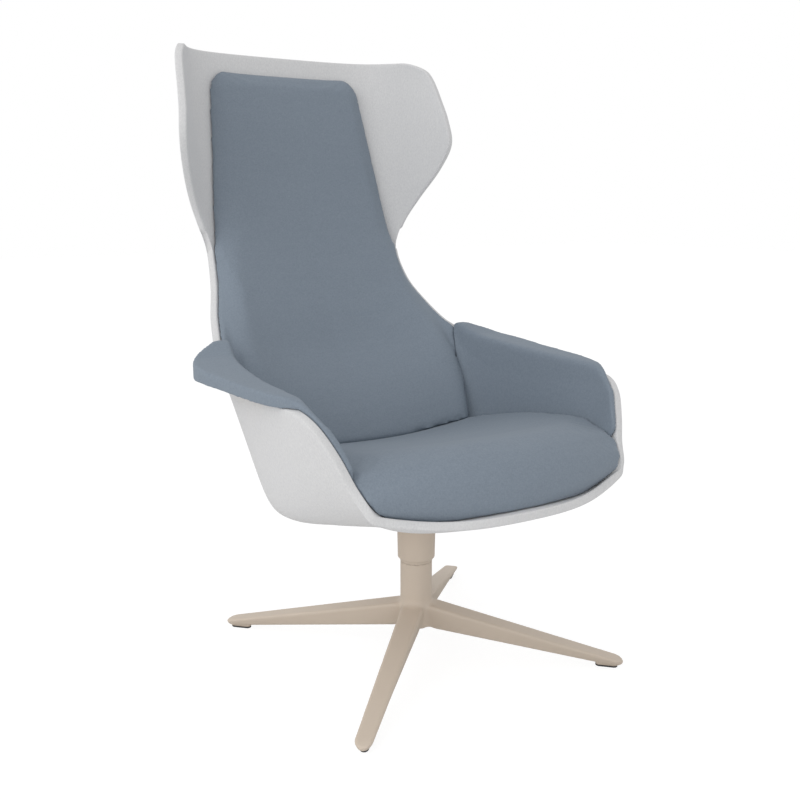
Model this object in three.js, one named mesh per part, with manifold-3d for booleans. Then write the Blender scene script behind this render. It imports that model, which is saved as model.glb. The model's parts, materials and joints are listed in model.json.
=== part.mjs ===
// Acoustic high back lounge chair: a moulded bucket shell with pads, on a swivelling four star base.
// Millimetres, +Z up. The sitter faces -Y and the model is even about X = 0.
import * as THREE from 'three';
import { mergeVertices } from 'three/addons/utils/BufferGeometryUtils.js';
import Module from 'manifold-3d';

const wasm = await Module();
wasm.setup();

// Shell sizes
const shellHalfWidth = 290;
const shellDepth = 850;
const shellRise = 740;
const shellWall = 14;
const lipHeight = 348;
const lipReach = 320;

// Pads and boards
const fitGap = 0.5;
const padGap = 0.95;
const boardWall = 6;
const armPadWall = 10;
const armPadRise = 16;
const armReach = 63;
const armTopRise = 3;
const armEdge = 5;
const armBoardWall = 4;
const armBoardInset = 5;
const seatCrown = 131;
const seatBulge = 20;
const seatSideRise = 88;
const lumbarDepth = 76;
const padEdge = 10;
const padShoulder = 18;
const padCrownPower = 3;
const growRows = 0.06;
const rimShare = 0.985;
const padFadeShare = 0.88;
const padRollShares = [0.5, 0.86, 1];
const padTopFadeShare = 0.45;
const padLastStation = 22.5;
const padTopSteps = [0.4, 0.15, 0.04, 0];
const padGapShare = 0.05;
const tongueReachShare = 0.6;
const tongueDropShare = 0.45;
const tongueRootShare = 0.4;
const padTopStation = 23.25;
const seatColumns = 8;
const backColumns = 6;

// Under seat plate, its bolts and their nuts
const plateStations = [6.9, 10];
const plateWidthShare = 0.17;
const plateRoomShare = 0.5;
const plateRowCount = 6;
const plateWall = 6;
const plateHubRadius = 44;
const plateHubDrop = 10;
const plateHubReach = 90;
const postHeadroom = 4;
const boltRadius = 4;
const boltHeadRadius = 7;
const boltHeadHeight = 5;
const nutFlangeRadius = 10;
const nutFlangeWall = 1.5;
const nutBarrelRadius = 5.5;
const boltHoleGap = 0.4;
const boltSides = 8;
const roundSides = 24;
const nutSides = 6;
const overrun = 2;

// Swivel column
const sleeveDrop = 102;
const sleeveLength = 78.5;
const sleeveTop = lipHeight - sleeveDrop;
const seamHeight = sleeveTop - sleeveLength;
const columnRadius = 28.3;
const collarRadius = 28.8;
const collarRise = 0.8;
const sleeveFootRadius = 33;
const sleeveRadius = 34.3;
const sleeveBevel = 5.2;
const sleeveBore = 20;
const postRadius = 12.5;
const postDrop = 2;
const postTop = sleeveTop - postDrop;
const threadOverhang = 3.5;
const threadRadius = 8;
const threadSeat = 6;
const boreGap = 0.3;
const bushLength = 20;
const bushFlange = 2;
const washerWall = 1.6;
const washerInset = 1.2;
const ringSeat = 9;
const ringWall = 1.8;
const ringRadius = 16.5;
const grooveDepth = 1.5;
const ringGap = 0.25;
const turnGap = 0.4;
const nutHeight = 9;
const nutRadius = 14;
const nutWasherWall = 2.5;
const nutWasherRadius = 19;
const nutRoom = 2;

// Star base
const legCount = 4;
const legTopAtHub = 94.5;
const legTopAtTip = 17.5;
const legFloorAtHub = 47;
const legFloorAtTip = 6.5;
const legHalfAtHub = 22;
const legHalfAtTip = 16;
const legEdge = 3;
const legDraft = 9;
const tipDropShare = 0.4;
const tipRiseShare = 0.5;
const hubFoot = 44;
const hubFloor = 61;
const hubRadius = 29;
const hubFlare = 3;
const hubWaist = 84;
const columnFlare = 1.5;
const hubFilletShare = 0.42;
const hubFilletRise = (seamHeight - hubWaist) * hubFilletShare;
const filletBreakShare = 0.35;
const glideCircle = 340;
const tipPastGlide = 28;
const legReach = glideCircle + tipPastGlide;
const glideHalfLength = 19;
const glideRadius = 6.5;
const glideFloor = 2.6;
const glideWall = 2.8;
const glideBevel = 0.8;
const glideSteps = 6;
const studRadius = 3;
const studLength = 8;
const studSink = 1.4;

const paint = {
  shell: [0xdcdcda, 0.75, 0],
  cloth: [0x8392a3, 0.9, 0],
  board: [0x3b3d40, 0.7, 0],
  metal: [0xbdae9f, 0.45, 0.2],
  steel: [0x9a9c9e, 0.35, 0.9],
  plastic: [0x2c2d2f, 0.6, 0],
};

const group = new THREE.Group();
const vec = (x, y, z) => new THREE.Vector3(x, y, z);

function addPart(name, geometry, look) {
  const [color, roughness, metalness] = paint[look];
  const mesh = new THREE.Mesh(geometry, new THREE.MeshStandardMaterial({ color, roughness, metalness }));
  mesh.name = name;
  group.add(mesh);
}

// Closed bodies and their cuts
function bodyOf(points, faces) {
  const raw = new THREE.BufferGeometry();
  raw.setAttribute('position', new THREE.Float32BufferAttribute(points.flatMap((p) => [p.x, p.y, p.z]), 3));
  raw.setIndex(faces.flat());
  const merged = mergeVertices(raw, 1e-4);
  const index = merged.index.array;
  const place = merged.attributes.position;
  const [a, b, c] = [vec(0, 0, 0), vec(0, 0, 0), vec(0, 0, 0)];
  const kept = [];
  let volume = 0;
  for (let i = 0; i < index.length; i += 3) {
    const [p, q, r] = [index[i], index[i + 1], index[i + 2]];
    if (p === q || q === r || r === p) continue;
    kept.push([p, q, r]);
    a.fromBufferAttribute(place, p);
    b.fromBufferAttribute(place, q);
    c.fromBufferAttribute(place, r);
    volume += a.dot(b.cross(c));
  }
  merged.setIndex(kept.flatMap(([p, q, r]) => (volume > 0 ? [p, q, r] : [p, r, q])));
  return merged;
}

function toSolid(geometry) {
  const bare = geometry.clone();
  bare.deleteAttribute('normal');
  bare.deleteAttribute('uv');
  const merged = mergeVertices(bare, 1e-4);
  const vertProperties = new Float32Array(merged.attributes.position.array);
  const triVerts = new Uint32Array(merged.index.array);
  return new wasm.Manifold(new wasm.Mesh({ numProp: 3, vertProperties, triVerts }));
}

function toGeometry(solid) {
  const mesh = solid.getMesh();
  const geometry = new THREE.BufferGeometry();
  geometry.setAttribute('position', new THREE.BufferAttribute(new Float32Array(mesh.vertProperties), 3));
  geometry.setIndex(new THREE.BufferAttribute(new Uint32Array(mesh.triVerts), 1));
  return geometry;
}

// The main body that the tools leave, without offcuts
function cut(geometry, tools) {
  const rest = tools.reduce((solid, tool) => solid.subtract(toSolid(tool)), toSolid(geometry));
  const bodies = rest.decompose().sort((a, b) => b.volume() - a.volume());
  return toGeometry(bodies[0]);
}

function join(geometries) {
  return toGeometry(geometries.slice(1).reduce((solid, next) => solid.add(toSolid(next)), toSolid(geometries[0])));
}

// The room that a body needs for a gap on its upper, rear and outer sides
function roomFor(geometry, gap) {
  geometry.computeBoundingBox();
  const half = geometry.boundingBox.max.x;
  return geometry.clone().scale((half + gap) / half, 1, 1).translate(0, gap, gap);
}

// A body between two grids of points, closed round their four borders. Its fields are split
// from the inner near corner to the outer far one, seen from the middle column.
function slab(front, back, middle = 0) {
  const rows = front.length;
  const columns = front[0].length;
  const rear = rows * columns;
  const faces = [];
  for (let i = 0; i < rows - 1; i++) {
    for (let j = 0; j < columns - 1; j++) {
      const [a, b] = [i * columns + j, i * columns + j + 1];
      const [c, d] = [b + columns, a + columns];
      const field = j < middle ? [[a, b, d], [b, c, d]] : [[a, b, c], [a, c, d]];
      for (const [p, q, r] of field) faces.push([p, q, r], [rear + p, rear + r, rear + q]);
    }
  }
  const border = [];
  for (let j = 0; j < columns - 1; j++) border.push(j);
  for (let i = 0; i < rows - 1; i++) border.push(i * columns + columns - 1);
  for (let j = columns - 1; j > 0; j--) border.push((rows - 1) * columns + j);
  for (let i = rows - 1; i > 0; i--) border.push(i * columns);
  border.forEach((a, k) => {
    const b = border[(k + 1) % border.length];
    faces.push([b, a, rear + a], [b, rear + a, rear + b]);
  });
  return bodyOf([...front.flat(), ...back.flat()], faces);
}

// A body through closed rings of equally many points, capped at both ends
function ringLoft(rings) {
  const count = rings[0].length;
  const faces = [];
  for (let i = 0; i < rings.length - 1; i++) {
    for (let k = 0; k < count; k++) {
      const [a, b] = [i * count + k, i * count + ((k + 1) % count)];
      faces.push([a, b, b + count], [a, b + count, a + count]);
    }
  }
  const last = (rings.length - 1) * count;
  for (let k = 1; k < count - 1; k++) faces.push([0, k + 1, k], [last, last + k, last + k + 1]);
  return bodyOf(rings.flat(), faces);
}

// The shell is lofted through stations from the front lip, under the seat and up the back.
// Each row gives shares of depth and rise for the spine, then shares of half width,
// depth and rise for the turn of the side wall, the same three for the rim, and the fullness of the turn.
const stationShares = [
  [0.006, -0.003, 0.473, 0.053, -0.007, 0.755, 0.072, 0.016, 0.60],
  [0.020, -0.004, 0.561, 0.090, -0.024, 0.797, 0.073, 0.026, 0.60],
  [0.042, -0.007, 0.635, 0.117, -0.033, 0.828, 0.080, 0.042, 0.60],
  [0.076, -0.014, 0.746, 0.154, -0.044, 0.862, 0.104, 0.077, 0.60],
  [0.112, -0.022, 0.810, 0.182, -0.056, 0.907, 0.127, 0.128, 0.72],
  [0.147, -0.028, 0.841, 0.210, -0.063, 0.966, 0.159, 0.180, 0.90],
  [0.182, -0.035, 0.853, 0.240, -0.070, 1.003, 0.198, 0.205, 1.12],
  [0.253, -0.047, 0.860, 0.283, -0.085, 1.007, 0.276, 0.207, 1.50],
  [0.341, -0.064, 0.858, 0.364, -0.108, 1.000, 0.376, 0.209, 2.08],
  [0.429, -0.080, 0.822, 0.438, -0.122, 0.969, 0.500, 0.218, 2.43],
  [0.500, -0.089, 0.760, 0.485, -0.127, 0.931, 0.588, 0.228, 2.36],
  [0.539, -0.084, 0.737, 0.500, -0.107, 0.903, 0.641, 0.242, 2.19],
  [0.571, -0.069, 0.715, 0.522, -0.075, 0.883, 0.678, 0.268, 1.94],
  [0.653, 0.016, 0.701, 0.611, 0.040, 0.848, 0.711, 0.286, 1.59],
  [0.729, 0.095, 0.696, 0.692, 0.141, 0.793, 0.767, 0.330, 1.34],
  [0.795, 0.178, 0.669, 0.766, 0.242, 0.728, 0.825, 0.401, 1.12],
  [0.847, 0.300, 0.641, 0.840, 0.358, 0.714, 0.859, 0.486, 1.02],
  [0.884, 0.422, 0.638, 0.879, 0.475, 0.772, 0.852, 0.557, 1.01],
  [0.912, 0.530, 0.655, 0.907, 0.566, 0.848, 0.824, 0.618, 1.01],
  [0.935, 0.631, 0.676, 0.928, 0.661, 0.934, 0.772, 0.700, 1.01],
  [0.952, 0.712, 0.696, 0.937, 0.736, 0.976, 0.745, 0.766, 1.00],
  [0.966, 0.786, 0.713, 0.946, 0.805, 0.969, 0.751, 0.827, 1.00],
  [0.978, 0.854, 0.715, 0.957, 0.865, 0.945, 0.772, 0.874, 1.00],
  [0.989, 0.928, 0.705, 0.972, 0.935, 0.924, 0.810, 0.951, 1.00],
  [1.001, 0.999, 0.691, 0.982, 0.999, 0.858, 0.846, 0.988, 1.00],
];
const rowsPerStation = 2;
const halfColumns = 12;
const topStation = stationShares.length - 1;
const topRow = topStation * rowsPerStation;

function shellPlace(acrossShare, depthShare, riseShare) {
  const forward = depthShare * shellDepth - lipReach;
  return vec(acrossShare * shellHalfWidth, forward, riseShare * shellRise + lipHeight);
}

const guides = [0, 2, 5].map((first) => {
  const places = stationShares.map((row) =>
    first ? shellPlace(row[first], row[first + 1], row[first + 2]) : shellPlace(0, row[0], row[1]),
  );
  return new THREE.CatmullRomCurve3(places, false, 'centripetal');
});

// The four control points of one row's side curve, from the spine to the rim, and their weights
function rowControls(row) {
  const [spine, turn, rim] = guides.map((guide) => guide.getPoint(row / topRow));
  const below = Math.min(Math.floor(row / rowsPerStation), topStation - 1);
  const [from, to] = [stationShares[below], stationShares[below + 1]].map((shares) => shares[shares.length - 1]);
  const fullness = from + (to - from) * (row / rowsPerStation - below);
  return { places: [spine, vec(turn.x, spine.y, spine.z), turn, rim], weights: [1, fullness, fullness, 1] };
}

// One point of a row's side curve, at a share of the way from spine to rim
function curvePoint({ places, weights }, share) {
  const rest = 1 - share;
  const reach = [rest ** 3, 3 * rest * rest * share, 3 * rest * share * share, share ** 3];
  const pulls = reach.map((value, k) => value * weights[k]);
  const total = pulls.reduce((sum, value) => sum + value);
  const point = vec(0, 0, 0);
  places.forEach((place, k) => point.addScaledVector(place, pulls[k] / total));
  return point;
}

const span = (from, to, count) => Array.from({ length: count + 1 }, (_, k) => from + ((to - from) * k) / count);
const steps = (from, to) => span(from, to, Math.round(to - from));

const shellNodes = steps(0, topRow).map((row) => {
  const controls = rowControls(row);
  return steps(0, halfColumns).map((column) => curvePoint(controls, column / halfColumns));
});

// The normal of every node, from the diagonals of the fields round it, then evened out
const fieldNormals = steps(0, topRow - 1).map((i) =>
  steps(0, halfColumns - 1).map((j) => {
    const [near, far] = [shellNodes[i], shellNodes[i + 1]];
    return far[j + 1].clone().sub(near[j]).cross(far[j].clone().sub(near[j + 1]));
  }),
);

const held = (value, top) => Math.min(Math.max(value, 0), top);

const rawNormals = shellNodes.map((row, i) =>
  row.map((_, j) => {
    const normal = vec(0, 0, 0);
    for (const a of new Set([held(i - 1, topRow - 1), held(i, topRow - 1)])) {
      for (const b of new Set([held(j - 1, halfColumns - 1), held(j, halfColumns - 1)])) {
        normal.add(fieldNormals[a][b].clone().normalize());
      }
    }
    return (j ? normal : normal.setX(0)).normalize();
  }),
);

const evened = (grid) =>
  grid.map((row, i) =>
    row.map((normal, j) => {
      const near = [grid[held(i - 1, topRow)][j], grid[held(i + 1, topRow)][j]];
      const beside = [row[held(j + 1, halfColumns)], j ? row[j - 1] : row[1].clone().multiply(vec(-1, 1, 1))];
      const sum = normal.clone().multiplyScalar(2);
      [...near, ...beside].forEach((other) => sum.add(other));
      return sum.normalize();
    }),
  );

const shellNormals = evened(evened(rawNormals));

function blend(grid, row, column) {
  const i = Math.min(Math.floor(row), topRow - 1);
  const j = Math.min(Math.floor(column), halfColumns - 1);
  const near = grid[i][j].clone().lerp(grid[i][j + 1], column - j);
  return near.lerp(grid[i + 1][j].clone().lerp(grid[i + 1][j + 1], column - j), row - i);
}

const mirrored = (point, side) => point.setX(point.x * side);

// A point of the inner face at a row and a column (negative on the sitter's right), lifted off it
function onShell(row, column, lift) {
  const point = blend(shellNodes, row, Math.abs(column));
  point.addScaledVector(blend(shellNormals, row, Math.abs(column)).normalize(), lift);
  return mirrored(point, column < 0 ? -1 : 1);
}

function shellPatch(rows, columns, liftFront, liftBack) {
  const face = (lift) => rows.map((row) => columns.map((column) => onShell(row, column, lift)));
  return slab(face(liftFront), face(liftBack), columns.filter((column) => column < 0).length);
}

// The value at a place in a table of [place, share] rows
function along(table, place) {
  const next = table.findIndex(([at]) => at >= place);
  if (next === 0) return table[0][1];
  if (next < 0) return table[table.length - 1][1];
  const [[a, from], [b, to]] = [table[next - 1], table[next]];
  return from + ((to - from) * (place - a)) / (b - a);
}

const ease = (share) => {
  const held = Math.min(Math.max(share, 0), 1);
  return held * held * (3 - 2 * held);
};

const stationRow = (station) => station * rowsPerStation;
const seatFrontStation = 1;
const armFrontStation = 3;
const split = 12;

const fullColumns = steps(-halfColumns, halfColumns);

function shell() {
  return shellPatch(steps(0, topRow), fullColumns, 0, -shellWall);
}

const searchStartShare = 0.3;
const halvings = 30;

// Column on a row where a lifted point reaches a height
function columnAtHeight(row, height, lift) {
  let [low, high] = [halfColumns * searchStartShare, halfColumns];
  for (let k = 0; k < halvings; k++) {
    const middle = (low + high) / 2;
    if (onShell(row, middle, lift).z < height) low = middle;
    else high = middle;
  }
  return (low + high) / 2;
}

// Arm pads: a saddle over the rim with an inner skirt and an outward rest
const armReachShares = [
  [5.6, 0], [6, 0.05], [6.5, 0.22], [7, 0.43], [7.5, 0.56], [8, 0.66], [8.5, 0.78], [9, 0.93], [9.5, 1],
  [10, 1], [10.5, 0.9], [10.75, 0.8], [11, 0.62], [11.25, 0.4], [11.5, 0.24], [11.75, 0.12], [12, 0.04],
];
const armRiseShares = [
  [3, 0.08], [5.5, 0.1], [6, 0.4], [6.5, 0.85], [7, 0.95], [8, 1], [10, 1], [11, 0.85], [12, 0.4],
];
const armNotchShares = [[7, 0], [7.4, 1], [10.9, 1], [11.2, 0]];
const armBoardStations = span(7.5, 10.8, 9);
const seatSideShares = [
  [1, 0.24], [2, 0.4], [3, 0.62], [4, 0.8], [5, 0.91], [6, 0.93], [7, 0.83], [8, 0.66], [9, 0.42],
  [10, 0.32], [11, 0.3], [12, 0.3],
];
const skirtTuckShare = 0.2;
const skirtColumns = 4;
const skirtEndStation = 10;
const armFineStation = 10;

const sideLift = armPadWall + fitGap;

// Where the seat's top meets the side wall
function seatColumn(station) {
  const row = stationRow(station);
  const height = lipHeight + seatSideRise * along(seatSideShares, station);
  const limit = halfColumns * rimShare;
  return Math.min(columnAtHeight(row, height, sideLift), limit);
}

function skirtColumn(station) {
  const tuck = halfColumns * skirtTuckShare * Math.min(1, (skirtEndStation - station) / 2, (station - armFrontStation) / 2);
  return Math.min(seatColumn(station) - Math.max(tuck, 0), halfColumns * rimShare);
}

function rimFrame(station) {
  const row = stationRow(station);
  const rim = onShell(row, halfColumns, 0);
  const inward = onShell(row, halfColumns, 1).sub(rim);
  const edge = rim.clone().sub(onShell(row, halfColumns - 1, 0)).normalize();
  const outward = vec(-inward.x, -inward.y, 0).normalize();
  return { rim, inward, edge, outward };
}

function armSection(station, grow) {
  const row = stationRow(station);
  const { rim, inward, edge, outward } = rimFrame(station);
  const reach = armReach * along(armReachShares, station);
  const rise = armPadRise * along(armRiseShares, station);
  const columns = span(skirtColumn(station) + (fitGap - 2 * grow) / shellWall, halfColumns, skirtColumns);
  const inside = columns.map((column) => onShell(row, column, padGap - grow));
  const face = columns.map((column) => onShell(row, column, armPadWall + grow));
  const up = vec(0, 0, rise + grow);
  const topInner = onShell(row, halfColumns, armPadWall + grow).add(up);
  const over = rim.clone().addScaledVector(inward, fitGap).addScaledVector(edge, fitGap);
  const lip = Math.min(reach, shellWall + fitGap);
  const rimOuter = over.clone().addScaledVector(inward, -lip - fitGap);
  if (reach <= 0) {
    const corner = onShell(row, halfColumns, fitGap).add(up);
    return [[...inside, corner, corner, corner, corner], [...face, topInner, corner, corner, corner]];
  }
  const depth = (armBoardWall + fitGap) * along(armNotchShares, station);
  const end = rim.clone().addScaledVector(outward, reach).setZ(rimOuter.z);
  const inset = Math.min(armBoardInset, reach - lip);
  const notch = end.clone().addScaledVector(outward, -inset);
  const low = vec(0, 0, -depth);
  const outer = end.clone().setZ(rim.z + rise + armTopRise * along(armReachShares, station));
  const crest = outer.clone().addScaledVector(outward, -armEdge * along(armReachShares, station));
  const shoulder = vec(0, 0, -armEdge * along(armReachShares, station));
  return [
    [...inside, over, rimOuter, notch, notch.clone().add(low)],
    [...face, topInner, crest, outer.add(shoulder), end.add(low)],
  ];
}

// Grown, it is the room that the back pad leaves for it
function armPad(side, grow = 0) {
  const coarse = span(armFrontStation, armFineStation, (armFineStation - armFrontStation) * rowsPerStation);
  const fine = span(armFineStation, split, (split - armFineStation) * 2 * rowsPerStation).slice(1, -1);
  const last = split + (grow - fitGap) / armReach;
  const sections = [...coarse, ...fine, last].map((station) => armSection(station, grow));
  const grid = (which) => sections.map((pair) => pair[which].map((point) => mirrored(point.clone(), side)));
  return slab(grid(1), grid(0));
}

// A stiff board under the outward part of each arm pad
function armBoard(side) {
  const section = (station) => {
    const { rim, inward, edge, outward } = rimFrame(station);
    const reach = armReach * along(armReachShares, station);
    const over = rim.clone().addScaledVector(edge, fitGap);
    const start = over.addScaledVector(inward, -shellWall - fitGap);
    const level = start.z - fitGap;
    const end = rim.clone().addScaledVector(outward, reach - armBoardInset - fitGap);
    return [start.setZ(level), end.setZ(level)];
  };
  const top = armBoardStations.map((station) => section(station).map((point) => mirrored(point, side)));
  const bottom = top.map((pair) => pair.map((point) => point.clone().setZ(point.z - armBoardWall)));
  return slab(top, bottom);
}

// Seat cushion: flat below on the shell, crowned above, sloping down to the back
const seatTopShares = [
  [1, 0.13], [1.5, 0.27], [2, 0.39], [3, 0.63], [4, 0.8], [5, 0.9], [6, 0.91], [7, 0.87], [8, 0.8], [9, 0.725],
  [10, 0.665], [11, 0.58], [12, 0.44],
];
const seatBulgeShares = [[1, 0.1], [2, 0.5], [3, 0.8], [4, 0.8], [5, 0.4], [6, 0], [12, 0]];
const seatRows = steps(stationRow(seatFrontStation), stationRow(split));
const seatFlatPower = 3.2;

function layerControls(row, floorLift, wallLift) {
  const { places, weights } = rowControls(row);
  const floor = onShell(row, 0, floorLift).sub(onShell(row, 0, 0));
  const wall = onShell(row, halfColumns, wallLift).sub(onShell(row, halfColumns, 0));
  const corner = floor.clone().add(wall);
  places.forEach((point, k) => point.add([floor, corner, corner, wall][k]));
  return { places, weights };
}

function backLift(station) {
  return lumbarDepth * along(lumbarShares, station);
}

const lumbarShares = [
  [12, 1], [15, 1], [15.7, 0.96], [16.6, 0.81], [17.3, 0.67], [18.4, 0.54], [19.3, 0.47], [21, 0.43],
  [22.5, 0.36], [23.5, 0.27],
];
const backWallShares = [[12, 0.16], [14, 0.18], [16, 0.22], [17, 0.32], [18, 0.44], [19, 0.52], [21, 0.58], [23, 0.62]];

function backFace(station, columns) {
  const row = stationRow(station);
  const lift = backLift(station);
  const wallShare = along(backWallShares, station);
  const wall = Math.max(lift * wallShare, armPadWall);
  const controls = layerControls(row, lift, wall);
  return columns.map((column) => {
    const front = curvePoint(controls, Math.abs(column) / halfColumns);
    return mirrored(front, column < 0 ? -1 : 1);
  });
}

function seatSection(station) {
  const row = stationRow(station);
  const side = seatColumn(station);
  const skirt = Math.min(skirtColumn(station), side);
  const tuck = station < armFrontStation ? padEdge : sideLift;
  const floor = span(0, skirt, seatColumns).map((column) => onShell(row, column, padGap));
  const bottom = [...floor, onShell(row, skirt, tuck), onShell(row, side, tuck)];
  const edge = onShell(row, side, tuck);
  const spine = onShell(row, 0, 0);
  const bulge = seatBulge * along(seatBulgeShares, station);
  const peak = spine.clone().add(vec(0, -bulge, seatCrown * along(seatTopShares, station)));
  const top = span(0, 1, seatColumns + 2).map((share) => {
    const crowned = peak.clone().lerp(edge, share ** seatFlatPower);
    return crowned.setX(edge.x * share).setY(peak.y + (edge.y - peak.y) * share * share);
  });
  return [top, bottom];
}

const bothSides = (half) => [
  ...half.slice(1).reverse().map((point) => mirrored(point.clone(), -1)),
  ...half,
];

function seatBody() {
  const sections = seatRows.map((row) => seatSection(row / rowsPerStation));
  const grid = (which) => sections.map((pair) => bothSides(pair[which]));
  return slab(grid(0), grid(1), (grid(0)[0].length - 1) / 2);
}

function seatCushion() {
  const recess = shellPatch(seatBoardRows(fitGap), seatBoardColumns(fitGap), boardRecess, -shellWall / 2);
  return cut(seatBody(), [recess]);
}

const boardRecess = padGap + boardWall + fitGap;
const seatBoardStationShares = [0.3, 0.88];
const seatBoardWidthShare = 0.42;
const backBoardStationShares = [0.14, 0.8];
const backBoardWidthShare = 0.34;

function boardRange(from, to, [startShare, endShare], grow) {
  const [a, b] = [from + (to - from) * startShare, from + (to - from) * endShare];
  const [low, high] = [Math.round(stationRow(a)), Math.round(stationRow(b))];
  const inner = span(low, high, Math.round((high - low) / 2));
  return grow ? [low - growRows, ...inner, high + growRows] : inner;
}

function boardColumns(share, grow) {
  const half = Math.round(halfColumns * share);
  const inner = steps(-half, half);
  return grow ? [-half - growRows, ...inner, half + growRows] : inner;
}

const seatBoardRows = (grow) => boardRange(seatFrontStation, split, seatBoardStationShares, grow);
const seatBoardColumns = (grow) => boardColumns(seatBoardWidthShare, grow);
const backBoardRows = (grow) => boardRange(split, padTopStation, backBoardStationShares, grow);
const backBoardColumns = (grow) => boardColumns(backBoardWidthShare, grow);

// Back pad: deep at the lumbar and thin at the head, with rounded upper corners
const padOutlineShares = [
  [0.4, 0.9], [0.46, 0.735], [0.476, 0.714], [0.514, 0.686], [0.555, 0.669], [0.593, 0.659], [0.632, 0.648],
  [0.673, 0.638], [0.712, 0.624], [0.753, 0.614], [0.792, 0.603], [0.832, 0.593], [0.872, 0.579], [0.909, 0.562],
  [0.938, 0.503], [0.95, 0.42],
];

// How far the pad's own crown, and not the shell's, shapes its face
const padCrownShares = [[14, 0], [16, 1]];

function padColumn(station) {
  const row = stationRow(station);
  const limit = halfColumns * rimShare;
  let [low, high] = [halfColumns * searchStartShare, limit];
  for (let k = 0; k < halvings; k++) {
    const middle = (low + high) / 2;
    const point = onShell(row, middle, 0);
    const riseShare = (point.z - lipHeight) / shellRise;
    if (point.x < shellHalfWidth * along(padOutlineShares, riseShare)) low = middle;
    else high = middle;
  }
  return (low + high) / 2;
}

function backSection(station) {
  const row = stationRow(station);
  const side = padColumn(station);
  const rollColumns = padRollShares.map((share) => side * (padFadeShare + (1 - padFadeShare) * share));
  const columns = [...span(0, side * padFadeShare, backColumns), ...rollColumns];
  const base = columns.map((column) => onShell(row, column, padGap));
  const tongue = Math.max(split - station, 0);
  const lifts = backFace(station, columns).map((point, k) => {
    const lift = point.clone().sub(base[k]).multiplyScalar(1 - tongue * tongueDropShare);
    const fade = held(columns[k] / side - padFadeShare, 1) / (1 - padFadeShare);
    const top = 1 - (1 - held((padTopStation - station) / padTopFadeShare, 1)) ** 2;
    const crown = backLift(station) + (padShoulder - backLift(station)) * (columns[k] / side) ** padCrownPower;
    const trimmed = 1 + (Math.min(1, crown / lift.length()) - 1) * along(padCrownShares, station);
    lift.multiplyScalar(trimmed);
    const least = Math.min(1, padEdge / lift.length());
    const rolled = Math.sqrt(Math.max(1 - fade * fade, 0) * top);
    return lift.multiplyScalar(least + (1 - least) * rolled);
  });
  const raised = (share) => base.map((point, k) => point.clone().addScaledVector(lifts[k], share));
  return [raised(1), raised(tongue ? tongueRootShare : 0)];
}

// The pad's foot is a tongue that goes down into the seat and the arm pads, and is cut by them
function backPad() {
  const whole = span(split + 1 / rowsPerStation, padLastStation, (padLastStation - split) * rowsPerStation - 1);
  const top = padTopSteps.map((step) => padTopStation - step);
  const foot = [split - tongueReachShare, split - padGapShare, split + padGapShare];
  const sections = [...foot, ...whole, ...top].map((station) => backSection(station));
  const grid = (which) => sections.map((pair) => bothSides(pair[which]));
  const body = slab(grid(0), grid(1), (grid(0)[0].length - 1) / 2);
  const recess = shellPatch(backBoardRows(fitGap), backBoardColumns(fitGap), boardRecess, -shellWall / 2);
  return cut(body, [recess, roomFor(seatBody(), 2 * fitGap), armPad(1, fitGap), armPad(-1, fitGap)]);
}

// Turned pieces, from an outline of [radius, height] points, and pins along a normal of the shell
function turned(outline, sides = roundSides) {
  const profile = [...outline, outline[0]].map(([radius, height]) => new THREE.Vector2(radius, height));
  return new THREE.LatheGeometry(profile, sides).rotateX(Math.PI / 2);
}

function rod(radius, from, to, sides = roundSides) {
  return turned([[0, from], [radius, from], [radius, to], [0, to]], sides);
}

function ring(inner, outer, from, to) {
  return turned([[inner, from], [outer, from], [outer, to], [inner, to]]);
}

function onNormal(geometry, row, column) {
  const foot = onShell(row, column, 0);
  const normal = onShell(row, column, 1).sub(foot).normalize();
  const turn = new THREE.Quaternion().setFromUnitVectors(vec(0, 0, 1), normal);
  return geometry.clone().applyQuaternion(turn).translate(foot.x, foot.y, foot.z);
}

// Bolts hold the plate, the shell and the seat board together
const boltStations = [7.5, 9.5];
const boltColumnShares = [-0.1, 0.1];
const boltPlaces = boltStations.flatMap((station) =>
  boltColumnShares.map((share) => [stationRow(station), halfColumns * share]),
);
const plateUnder = -shellWall - 2 * fitGap - plateWall;
const boardTop = padGap + boardWall;

const boltHoles = (radius, from, to) =>
  boltPlaces.map(([row, column]) => onNormal(rod(radius, from, to, boltSides), row, column));

function bolt(row, column) {
  const tip = boardTop - nutFlangeWall;
  const outline = [
    [0, plateUnder - fitGap - boltHeadHeight],
    [boltHeadRadius, plateUnder - fitGap - boltHeadHeight],
    [boltHeadRadius, plateUnder - fitGap],
    [boltRadius, plateUnder - fitGap],
    [boltRadius, tip],
    [0, tip],
  ];
  return onNormal(turned(outline, boltSides), row, column);
}

function boardNut(row, column) {
  const bore = boltRadius + boltHoleGap;
  const foot = 2 * fitGap;
  const outline = [
    [bore, foot],
    [nutBarrelRadius, foot],
    [nutBarrelRadius, boardTop - nutFlangeWall],
    [nutFlangeRadius, boardTop - nutFlangeWall],
    [nutFlangeRadius, boardTop],
    [bore, boardTop],
  ];
  return onNormal(turned(outline, boltSides), row, column);
}

function seatBoard() {
  const sheet = shellPatch(seatBoardRows(0), seatBoardColumns(0), boardTop, padGap);
  const barrels = boltHoles(nutBarrelRadius + boltHoleGap, -overrun, boardTop + overrun);
  const flanges = boltHoles(nutFlangeRadius + boltHoleGap, boardTop - nutFlangeWall - boltHoleGap, boardTop + overrun);
  return cut(sheet, [...barrels, ...flanges]);
}

function backBoard() {
  return shellPatch(backBoardRows(0), backBoardColumns(0), boardTop, padGap);
}

function drilledShell() {
  return cut(shell(), boltHoles(boltRadius + boltHoleGap, -shellWall - overrun, overrun));
}

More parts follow.
